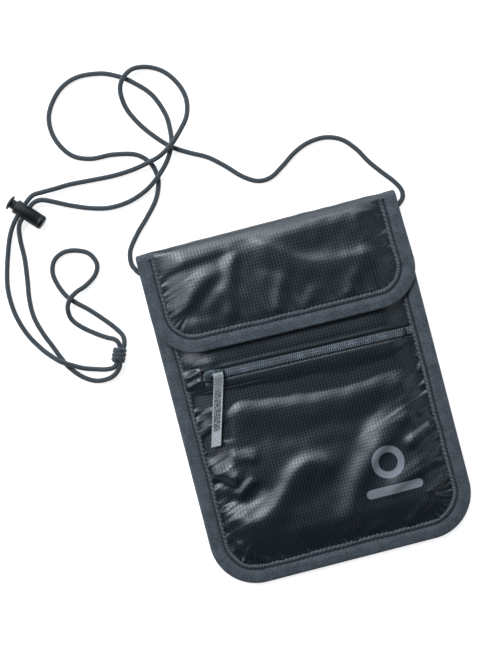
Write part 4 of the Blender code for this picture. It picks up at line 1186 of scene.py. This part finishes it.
def build_zip():
    for name, node, side in (
        ("zip_tape_lower_weave", "lower_zip_tape", -1), ("zip_tape_upper_weave", "upper_zip_tape", 1),
    ):
        along = np.arange(-75.2, 75.3, 1.0)
        across = np.linspace(0.35, 9.0, 16) * side
        a, c = np.meshgrid(along, across, indexing="ij")
        x, y = zip_place(a, c)
        z = level(TAPE_LEVEL, x, y) + CLOTH * 0.5 + 0.06 * ripple(a, c, 12.0, 101.0)
        obj = grid_piece(
            name, stack_points(x, y, z), np.stack([a, c], axis=2), tape_weave, thickness=0.35,
            flip=side > 0,
        )
        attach(obj, "pouch")
        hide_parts(node)
    for name, node, side in (
        ("zip_coil_lower_turns", "lower_zip_coil", -1), ("zip_coil_upper_turns", "upper_zip_coil", 1),
    ):
        pitch = 1.25
        turns = int((COIL_SEWN_IN - COIL_ENDS[0]) / pitch)
        t = np.arange(0, turns, 1 / 14)
        angle = 2 * math.pi * t
        along = COIL_ENDS[0] + t * pitch + (0.5 * pitch if side > 0 else 0) + 0.35 * np.cos(angle) * 0.5
        flat = np.sign(np.cos(angle)) * np.abs(np.cos(angle)) ** 0.7
        across = side * (0.92 - 1.12 * flat)
        high = np.sign(np.sin(angle)) * np.abs(np.sin(angle)) ** 0.6
        x, y = zip_place(along, across)
        base = level((TAPE_LEVEL[0] + 0.7, TAPE_LEVEL[1] + 0.7), x, y)
        path = np.stack([x, y, base + 0.6 + 0.36 * high], axis=1)
        points, uvs = tube_arrays(path, 0.27, 7, up=(0.02, 0.03, 1))
        obj = grid_piece(name, points, uvs, coil_plastic, weld=True)
        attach(obj, "pouch")
        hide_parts(node)
    parts = []
    for side in (-1, 1):
        for across, height in ((1.35, 1.42), (1.9, 1.3)):
            along = np.arange(COIL_ENDS[0], COIL_SEWN_IN, 1.0)
            x, y = zip_place(along, along * 0 + side * across)
            z = level(TAPE_LEVEL, x, y) + height + 0.25
            parts += stitch_parts(np.stack([x, y, z], axis=1), 1.0, 0.25, 0.14, 0.05)
        along = np.arange(-66.0, 66.0, 1.5)
        x, y = zip_place(along, along * 0 + side * 3.1)
        z = level(TAPE_LEVEL, x, y) + CLOTH * 0.5 + 0.4
        parts += stitch_parts(np.stack([x, y, z], axis=1), 2.0, 0.6, 0.14, 0.02)
    rows = joined("zip_coil_threads", parts, thread)
    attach(rows, "pouch")


def rounded_block(name, x_range, y_range, z_range, bevel, material, rotate=None, segments=3):
    """A block with rounded edges, made on the zip's line if rotate is given."""
    bm = bmesh.new()
    bmesh.ops.create_cube(bm, size=1.0)
    for vert in bm.verts:
        for axis, (low, high) in enumerate((x_range, y_range, z_range)):
            vert.co[axis] = low if vert.co[axis] < 0 else high
    bmesh.ops.bevel(
        bm, geom=bm.edges[:] + bm.verts[:], offset=bevel, segments=segments, profile=0.5, affect="EDGES",
    )
    bmesh.ops.subdivide_edges(bm, edges=bm.edges[:], cuts=1, use_grid_fill=True)
    for vert in bm.verts:
        if rotate:
            vert.co.x, vert.co.y = zip_place(vert.co.x, vert.co.y)
        vert.co *= MM
    mesh = bpy.data.meshes.new(name)
    bm.to_mesh(mesh)
    bm.free()
    mesh.polygons.foreach_set("use_smooth", [True] * len(mesh.polygons))
    mesh.materials.append(material)
    obj = bpy.data.objects.new(name, mesh)
    bpy.context.scene.collection.objects.link(obj)
    return obj


def outline_plate(outline, low, high, bevel, segments=3):
    """A plate from an outline of (along, across), with rounded rims, as a bmesh in millimetres."""
    bm = bmesh.new()
    verts = [bm.verts.new((a, c, low)) for a, c in outline]
    face = bm.faces.new(verts)
    raised = bmesh.ops.extrude_face_region(bm, geom=[face])["geom"]
    bmesh.ops.translate(
        bm, verts=[v for v in raised if isinstance(v, bmesh.types.BMVert)], vec=(0, 0, high - low)
    )
    bmesh.ops.recalc_face_normals(bm, faces=bm.faces)
    rims = [e for e in bm.edges if abs(e.verts[0].co.z - e.verts[1].co.z) < 1e-6]
    bmesh.ops.bevel(bm, geom=rims, offset=bevel, segments=segments, profile=0.5, affect="EDGES")
    return bm


def round_outline(points, radius, steps=5):
    """Round the corners of a closed outline."""
    count = len(points)
    result = []
    for index in range(count):
        before, here, after = (np.array(points[(index + k) % count], float) for k in (-1, 0, 1))
        first = (before - here) / np.linalg.norm(before - here)
        second = (after - here) / np.linalg.norm(after - here)
        for t in np.linspace(0, 1, steps):
            a, b = here + first * radius * (1 - t), here + second * radius * t
            result.append(tuple(a * (1 - t) + b * t))
    return result


def mesh_from_bm(name, bms, material, place=True):
    """Join several bmeshes in millimetres, set them on the zip's line, and make one piece."""
    verts, faces = [], []
    for bm in bms:
        offset = len(verts)
        bm.verts.index_update()
        verts += [tuple(v.co) for v in bm.verts]
        faces += [tuple(offset + v.index for v in f.verts) for f in bm.faces]
        bm.free()
    if place:
        verts = [(*zip_place(a, c), z) for a, c, z in verts]
    obj = add_mesh(name, verts, faces, None, material)
    obj.data.set_sharp_from_angle(angle=math.radians(38))
    return obj


def build_slider():
    """Slider body: two waisted plates, rolled side flanges, and an arched crown with a rivet."""
    x0 = SLIDER_X
    shape = [
        (-5.85, -3.4), (-5.85, 3.4), (-1.5, 3.3), (2.2, 2.75), (5.85, 2.55), (5.85, -2.55), (2.2, -2.75),
        (-1.5, -3.3),
    ]
    rounded = [(x0 + a, c) for a, c in round_outline(shape, 1.1)]
    top = outline_plate(rounded, 8.7, 9.35, 0.22)
    for vert in top.verts:
        if vert.co.z > 9.0:
            vert.co.z += 0.25 * (1 - (vert.co.y / 3.6) ** 2)
    lower = outline_plate(rounded, 5.6, 6.2, 0.2)
    bms = [top, lower]
    for side in (-1, 1):
        flange = [
            (x0 - 4.9, side * 2.75), (x0 - 4.9, side * 3.45), (x0 + 0.5, side * 3.4), (x0 + 4.9, side * 2.7),
            (x0 + 4.9, side * 2.1), (x0 + 0.5, side * 2.7),
        ]
        bms.append(outline_plate(flange[:: side], 7.55, 8.85, 0.15, segments=2))
    bms.append(
        outline_plate(
            [
                (x0 + a, c) for a,
                c in round_outline([(-5.0, -0.5), (-5.0, 0.5), (-2.2, 0.25), (-2.2, -0.25)], 0.2, 3)
            ],
            6.0, 8.9, 0.05, segments=1
        )
    )
    arch = np.array(
        [
            (-3.6, 9.1), (-3.1, 10.1), (-2.2, 10.9), (-0.6, 11.15), (1.8, 11.2), (3.6, 11.05), (4.9, 10.4),
            (5.5, 9.5), (5.6, 8.9),
        ]
    )
    line = smooth_path(arch, 2)
    section = [(math.cos(a), math.sin(a)) for a in np.linspace(0, 2 * math.pi, 17)[:-1]]
    bm = bmesh.new()
    rings = []
    tangent = np.gradient(line, axis=0)
    tangent /= np.linalg.norm(tangent, axis=1)[:, None]
    for (a, z), (ta, tz) in zip(line, tangent):
        wide = 0.72 if abs(a - PULLER_X) < 1.6 else 1.0
        rings.append(
            [
                bm.verts.new(
                    (x0 + a - tz * 0.36 * q, wide * math.copysign(abs(p) ** 0.6, p), z + ta * 0.36 * q)
                ) for p,
                q in section
            ]
        )
    for first, second in zip(rings, rings[1:]):
        for k in range(16):
            bm.faces.new((first[k], first[(k + 1) % 16], second[(k + 1) % 16], second[k]))
    bm.faces.new(rings[0][::-1])
    bm.faces.new(rings[-1])
    bmesh.ops.recalc_face_normals(bm, faces=bm.faces)
    bms.append(bm)
    rivet = [
        (x0 + 4.1 + 0.85 * math.cos(a), 0.85 * math.sin(a)) for a in np.linspace(0, 2 * math.pi, 20)[:-1]
    ]
    bms.append(outline_plate(rivet, 10.9, 11.45, 0.18, segments=2))
    obj = mesh_from_bm("zip_slider_casting", bms, slider_metal)
    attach(obj, "slider")
    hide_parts("slider_body")


def build_puller():
    """A tape folded round the slider's bar: a path of (distance from the bar, height), skewed to the side."""
    outer = [
        (39.8, 8.28), (34, 8.2), (24, 8.25), (14, 8.2), (8.5, 8.35), (5.5, 9.1), (3.6, 9.75), (1.9, 9.85),
        (0.6, 9.9),
    ]
    loop = [(math.cos(a) * 1.12, BAR_Z + math.sin(a) * 1.12) for a in np.radians(np.arange(-90, -300, -18))]
    upper = [
        (1.2, 12.0), (2.6, 11.4), (4.4, 10.5), (6.4, 9.6), (9.0, 9.0), (14, 8.82), (24, 8.86), (34, 8.82),
        (39.8, 8.86),
    ]
    line = smooth_path(np.array(outer + loop + upper), 2)
    dense = catmull_rom(np.c_[line, np.zeros(len(line))], 0.5)[0][:, :2]
    across = np.linspace(-2.8, 2.8, 17)
    tangent = np.gradient(dense, axis=0)
    tangent /= np.linalg.norm(tangent, axis=1)[:, None]
    rim = 0.12 * np.abs(across / 2.8) ** 6
    out, high = dense[:, 0], dense[:, 1]
    turned = int(np.argmin(out))
    normal = np.stack([tangent[:, 1], -tangent[:, 0]], axis=1) * -1.0
    o = out[:, None] + normal[:, :1] * rim[None]
    h = high[:, None] + normal[:, 1:] * rim[None]
    middle = (11.5 < out) & (out < 33)
    ruffle = 0.1 * ripple(
        np.broadcast_to(out[:, None], o.shape) * 2.2, across[None] + o * 0, 1.6, 111.0,
    ) * middle[:, None]
    h = h + ruffle * (np.arange(len(out)) > turned)[:, None]
    edge = 0.12 * ripple(
        out, out * 0, 1.3, 112.0,
    )[:, None] * np.sign(across)[None] * (np.abs(across) > 2.5)[None]
    a = SLIDER_X + PULLER_X + across[None] + edge - 0.27 * np.maximum(0.0, o - 1.5)
    x, y = zip_place(a, -o)
    away = np.abs(np.concatenate([[0.0], np.cumsum(np.linalg.norm(np.diff(dense, axis=0), axis=1))]))
    away = np.abs(away - away[turned])
    uvs = np.stack(np.broadcast_arrays(away[:, None], across[None]), axis=2).copy()
    obj = grid_piece("zip_puller_tape", stack_points(x, y, h), uvs, puller_weave, thickness=0.38)
    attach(obj, "puller")
    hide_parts("puller_tape")


def build_tab():
    """The folded cloth that finishes the zip's left end."""
    low_z, high_z = 8.0, 8.75
    profile = [(-67.5, low_z), (-64, low_z), (-60.5, low_z), (-58, low_z)]
    profile += [
        (
            -57.2 + 0.38 * math.cos(a), (low_z + high_z) / 2 + 0.38 * math.sin(a),
        ) for a in np.linspace(-math.pi / 2, math.pi / 2, 9)
    ]
    profile += [(-58, high_z), (-60.5, high_z + 0.1), (-63, high_z + 0.05), (-67.5, high_z)]
    line = catmull_rom(np.c_[np.array(profile), np.zeros(len(profile))], 0.4)[0][:, :2]
    across = np.linspace(-5.6, 5.9, 30)
    a = np.broadcast_to(line[:, :1], (len(line), len(across)))
    c = np.broadcast_to(across[None], a.shape)
    x, y = zip_place(a, c)
    turned = np.arange(len(line)) > int(np.argmax(line[:, 0]))
    wrinkle = ridge(a, c, ((-67, 0.5), (-62, 2.6), (-57.0, 3.8)), 0.9, 1.8, 1.5) + ridge(
        a, c, ((-67, -4.0), (-61, -2.2), (-57.2, -1.2)), 0.7, 1.4, 1.5,
    )
    droop = -0.55 * np.clip(np.abs(c / 5.6), 0, 1) ** 3
    z = line[:, 1:] - 7.9 + level(TAB_LEVEL, x, y) + turned[:, None] * wrinkle + droop
    uvs = flat_uvs(stack_points(y, x, z))
    obj = grid_piece("zip_end_tab_cloth", stack_points(x, y, z), uvs, ripstop, thickness=0.25)
    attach(obj, "pouch")
    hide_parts("zip_end_tab")
    stop = rounded_block(
        "zip_bottom_stop", (61.2, 63.0), (-2.2, 2.2), (7.1, 8.4), 0.35, lock_plastic, True,
    )
    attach(stop, "pouch")
    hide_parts("zip_stop")


build_zip()
build_slider()
build_puller()
build_tab()


# ---------------------------------------------------------------- the compartment's mouth and its closure
def build_hem():
    """The mouth's rolled hem: the front's and divider's edges turned into one another."""
    x = np.linspace(-HALF_WIDTH + SEAM_INSET, HALF_WIDTH - SEAM_INSET, 160)
    around = np.linspace(0, 2 * math.pi, 21)
    low = level(DIVIDER_LEVEL, x, MOUTH_Y)
    high = level(FRONT_LEVEL, x, MOUTH_Y) + CLOTH
    middle, half = (low + high) / 2, (high - low) / 2
    y = MOUTH_Y + 0.9 + 1.0 * np.cos(around)[:, None] + 0.1 * ripple(x, x * 0, 6.0, 121.0)[None]
    z = middle[None] + half[None] * np.sin(around)[:, None]
    points = stack_points(np.broadcast_to(x, y.shape), y, z)
    obj = grid_piece("mouth_hem_roll", points, flat_uvs(points), ripstop, weld=True)
    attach(obj, "pouch")
    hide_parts("mouth_hem")
    y_line = np.full_like(x, MOUTH_Y - 1.6)
    path = np.stack([x, y_line, level(FRONT_LEVEL, x, y_line) + CLOTH + 0.2], axis=1)[12:-12]
    seam = joined("mouth_stitches", stitch_parts(path), thread)
    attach(seam, "pouch")


def build_patch(name, node, body, low, high, face_up, material, seed):
    """A strip of hook or loop tape: a soft block with a pile on its face, sewn round its edge."""
    x, y = np.meshgrid(np.linspace(-45, 45, 181), np.linspace(49.2, 66.8, 37), indexing="ij")
    rim = np.minimum(45 - np.abs(x), 9 - np.abs(y - 58))
    pile = 0.16 * np.abs(ripple(x, y, 0.9, seed)) * smooth(rim / 1.6)
    face = high if face_up else low
    sign = 1 if face_up else -1
    z = face + sign * (pile - 0.12 - 0.15 * (1 - smooth(rim / 1.2)))
    back = low if face_up else high
    top = stack_points(x, y, z)
    flat = stack_points(x, y, z * 0 + back)
    loops = [(i, 0) for i in range(181)] + [(180, j) for j in range(1, 37)] + [
        (i, 36) for i in range(179, -1, -1)
    ] + [(0, j) for j in range(35, -1, -1)]
    wall = np.array([[top[i, j], flat[i, j]] for i, j in loops])
    uv = np.stack([x, y], axis=2)
    wall_uv = np.array([[uv[i, j], uv[i, j]] for i, j in loops])
    obj = joined(name, [(top, uv), (flat, uv), (wall, wall_uv)], material)
    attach(obj, body)
    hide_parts(node)
    ring = np.array([(-43.4, 50.8), (43.4, 50.8), (43.4, 65.2), (-43.4, 65.2), (-43.4, 50.8)])
    path = catmull_rom(np.c_[np.repeat(ring, 2, axis=0)[1:-1], np.full(8, face + 0.06 * sign)], 1.0)[0]
    seam = joined(name + "_stitches", stitch_parts(path, 2.4, 0.7, 0.16, 0.0), thread)
    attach(seam, body)


build_hem()
build_patch("loop_patch_pile", "loop_patch", "pouch", 7.9, 8.4, True, loop_fuzz, 131.0)
build_patch("hook_patch_pile", "hook_patch", "flap", 8.7, 9.2, False, hook_fuzz, 132.0)


# ---------------------------------------------------------------- the cord lock
def lathe(name, profile, material, steps=48):
    """Turn a (radius, height) profile round the lock's own axis."""
    matrix = Matrix.Translation(LOCK_END) @ Matrix.Rotation(LOCK_ANGLE, 4, "Z") @ Matrix.Rotation(
        math.pi / 2, 4, "X",
    )
    profile = np.array(profile, float)
    around = np.linspace(0, 2 * math.pi, steps + 1)
    points = np.stack(
        [
            profile[:, :1] * np.cos(around), profile[:, :1] * np.sin(around),
            np.broadcast_to(profile[:, 1:], (len(profile), steps + 1)),
        ],
        axis=2,
    )
    turn, shift = np.array(matrix.to_3x3()), np.array(matrix.translation)
    points = points @ turn.T + shift
    lengths = section_uv(profile)
    uvs = np.stack(np.broadcast_arrays(around[None] * 4.0, lengths[:, None]), axis=2).copy()
    obj = grid_piece(name, points, uvs, material, weld=True)
    return obj, matrix


def passage(matrix, low, high, reach):
    """The oval passage that the cords run through, as a cutter."""
    bm = bmesh.new()
    bmesh.ops.create_cube(bm, size=1.0)
    for vert in bm.verts:
        vert.co.x *= 2 * reach
        vert.co.y *= 3.4
        vert.co.z = -high if vert.co.z < 0 else -low
    long_edges = [e for e in bm.edges if abs(e.verts[0].co.x - e.verts[1].co.x) > reach]
    bmesh.ops.bevel(bm, geom=long_edges, offset=1.2, segments=5, profile=0.5, affect="EDGES")
    bmesh.ops.transform(bm, matrix=matrix, verts=bm.verts)
    bmesh.ops.scale(bm, vec=(MM, MM, MM), verts=bm.verts)
    mesh = bpy.data.meshes.new("passage")
    bm.to_mesh(mesh)
    bm.free()
    return bpy.data.objects.new("passage", mesh)


def cut_passage(obj, matrix, low, high):
    cutter = passage(matrix, low, high, 9.0)
    bpy.context.scene.collection.objects.link(cutter)
    modifier = obj.modifiers.new("cut", "BOOLEAN")
    modifier.operation = "DIFFERENCE"
    modifier.solver = "EXACT"
    modifier.object = cutter
    apply_modifiers(obj, 45.0)
    bpy.data.objects.remove(cutter, do_unlink=True)


def build_lock():
    barrel_profile = [
        (0.01, -15.5), (3.1, -15.5), (3.1, -0.3), (3.25, -0.02), (3.6, 0.0), (3.95, -0.12), (4.15, -0.45),
        (4.2, -0.9),
    ]
    barrel_profile += [(4.2, -15.6), (4.08, -15.8), (4.08, -16.0), (4.2, -16.2)]
    barrel_profile += [(4.2, -17.2), (4.1, -18.0), (3.75, -18.65), (3.2, -18.95), (1.6, -19.0), (0.01, -19.0)]
    barrel, matrix = lathe("cord_lock_barrel_shell", barrel_profile, lock_plastic)
    cut_passage(barrel, matrix, 2.6, 9.2)
    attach(barrel, "lock")
    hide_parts("cord_lock_barrel")
    plunger_profile = [
        (0.01, 4.62), (1.4, 4.6), (2.9, 4.45), (3.9, 4.1), (4.35, 3.7), (4.5, 3.3), (4.4, 3.05), (4.0, 2.95),
        (3.0, 2.85), (2.75, 2.5), (2.75, -10.6), (2.5, -11.0), (0.01, -11.0),
    ]
    plunger, matrix = lathe("cord_lock_button", plunger_profile, button_plastic)
    cut_passage(plunger, matrix, 0.3, 9.2)
    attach(plunger, "plunger")
    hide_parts("cord_lock_plunger")
    t = np.linspace(0, 1, 160)
    angle = 2 * math.pi * 3.5 * t
    local = np.stack([2.2 * np.cos(angle), 2.2 * np.sin(angle), -11.4 - 3.7 * t], axis=1)
    path = local @ np.array(matrix.to_3x3()).T + np.array(matrix.translation)
    spring = closed_tube(
        "cord_lock_coil", path, 0.25, 8, spring_steel,
        up=tuple(matrix.to_3x3() @ Vector((0, 0, 1))),
    )
    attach(spring, "lock")
    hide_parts("cord_lock_spring")
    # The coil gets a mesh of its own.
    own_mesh(spring)
    return barrel, plunger, spring


barrel, plunger, spring = build_lock()


# ---------------------------------------------------------------- camera, lights and floor
def aim(obj, place, at):
    obj.location = place
    obj.rotation_euler = (Vector(at) - Vector(place)).to_track_quat("-Z", "Y").to_euler()


VIEW_CENTRE = Vector((-0.0289, 0.0471, 0.0))
VIEW_TURN = math.radians(-14.5)
VIEW_HEIGHT = 0.3747
CAMERA_DISTANCE = 1.1

camera_data = bpy.data.cameras.new("camera")
camera_data.lens = 36.0 * CAMERA_DISTANCE / VIEW_HEIGHT
camera_data.sensor_width = 36.0
camera_data.clip_start = 0.05
camera_data.clip_end = 20.0
camera = bpy.data.objects.new("camera", camera_data)
camera.location = VIEW_CENTRE + Vector((0, 0, CAMERA_DISTANCE))
camera.rotation_euler = (0, 0, VIEW_TURN)
bpy.context.scene.collection.objects.link(camera)
bpy.context.scene.camera = camera


def area_light(name, place, size, power, at=(0, 0, 0)):
    data = bpy.data.lights.new(name, "AREA")
    data.shape = "RECTANGLE"
    data.size, data.size_y = size
    data.energy = power
    data.color = (0.86, 0.93, 1.0)
    light = bpy.data.objects.new(name, data)
    bpy.context.scene.collection.objects.link(light)
    turn = Matrix.Rotation(VIEW_TURN, 3, "Z")
    aim(light, turn @ Vector(place), at)


area_light("key_light", (-0.72, 0.78, 1.22), (0.7, 0.6), 16.0)
area_light("top_light", (0.12, 1.15, 1.10), (1.1, 0.35), 6.0)
area_light("rim_light", (-0.2, 1.6, 0.55), (1.2, 0.5), 6.0)
area_light("left_light", (-1.25, 0.1, 0.85), (0.4, 1.0), 5.0)
area_light("right_light", (1.3, 0.1, 0.7), (0.4, 1.0), 1.5)

world = bpy.data.worlds.new("studio")
world.use_nodes = True
world.node_tree.nodes["Background"].inputs["Color"].default_value = (0.80, 0.92, 1.0, 1)
world.node_tree.nodes["Background"].inputs["Strength"].default_value = 0.05
bpy.context.scene.world = world
bpy.context.scene.view_settings.view_transform = "Standard"

floor_look = Shader("floor_paper", (0.9, 0.9, 0.9), 0.9)
floor_look.set(Emission_Color=(1, 1, 1, 1), Emission_Strength=0.8)
floor_noise = floor_look.noise(floor_look.object_place(), 60.0, 3.0)
floor_look.colour(floor_look.mix(floor_noise, (0.72, 0.72, 0.72), (0.76, 0.76, 0.76)))
floor_mesh = bpy.data.meshes.new("floor")
floor_mesh.from_pydata([(-3, -3, 0), (3, -3, 0), (3, 3, 0), (-3, 3, 0)], [], [(0, 1, 2, 3)])
floor_mesh.materials.append(floor_look.material)
floor = bpy.data.objects.new("floor", floor_mesh)
floor.location.z = -0.0001
bpy.context.scene.collection.objects.link(floor)
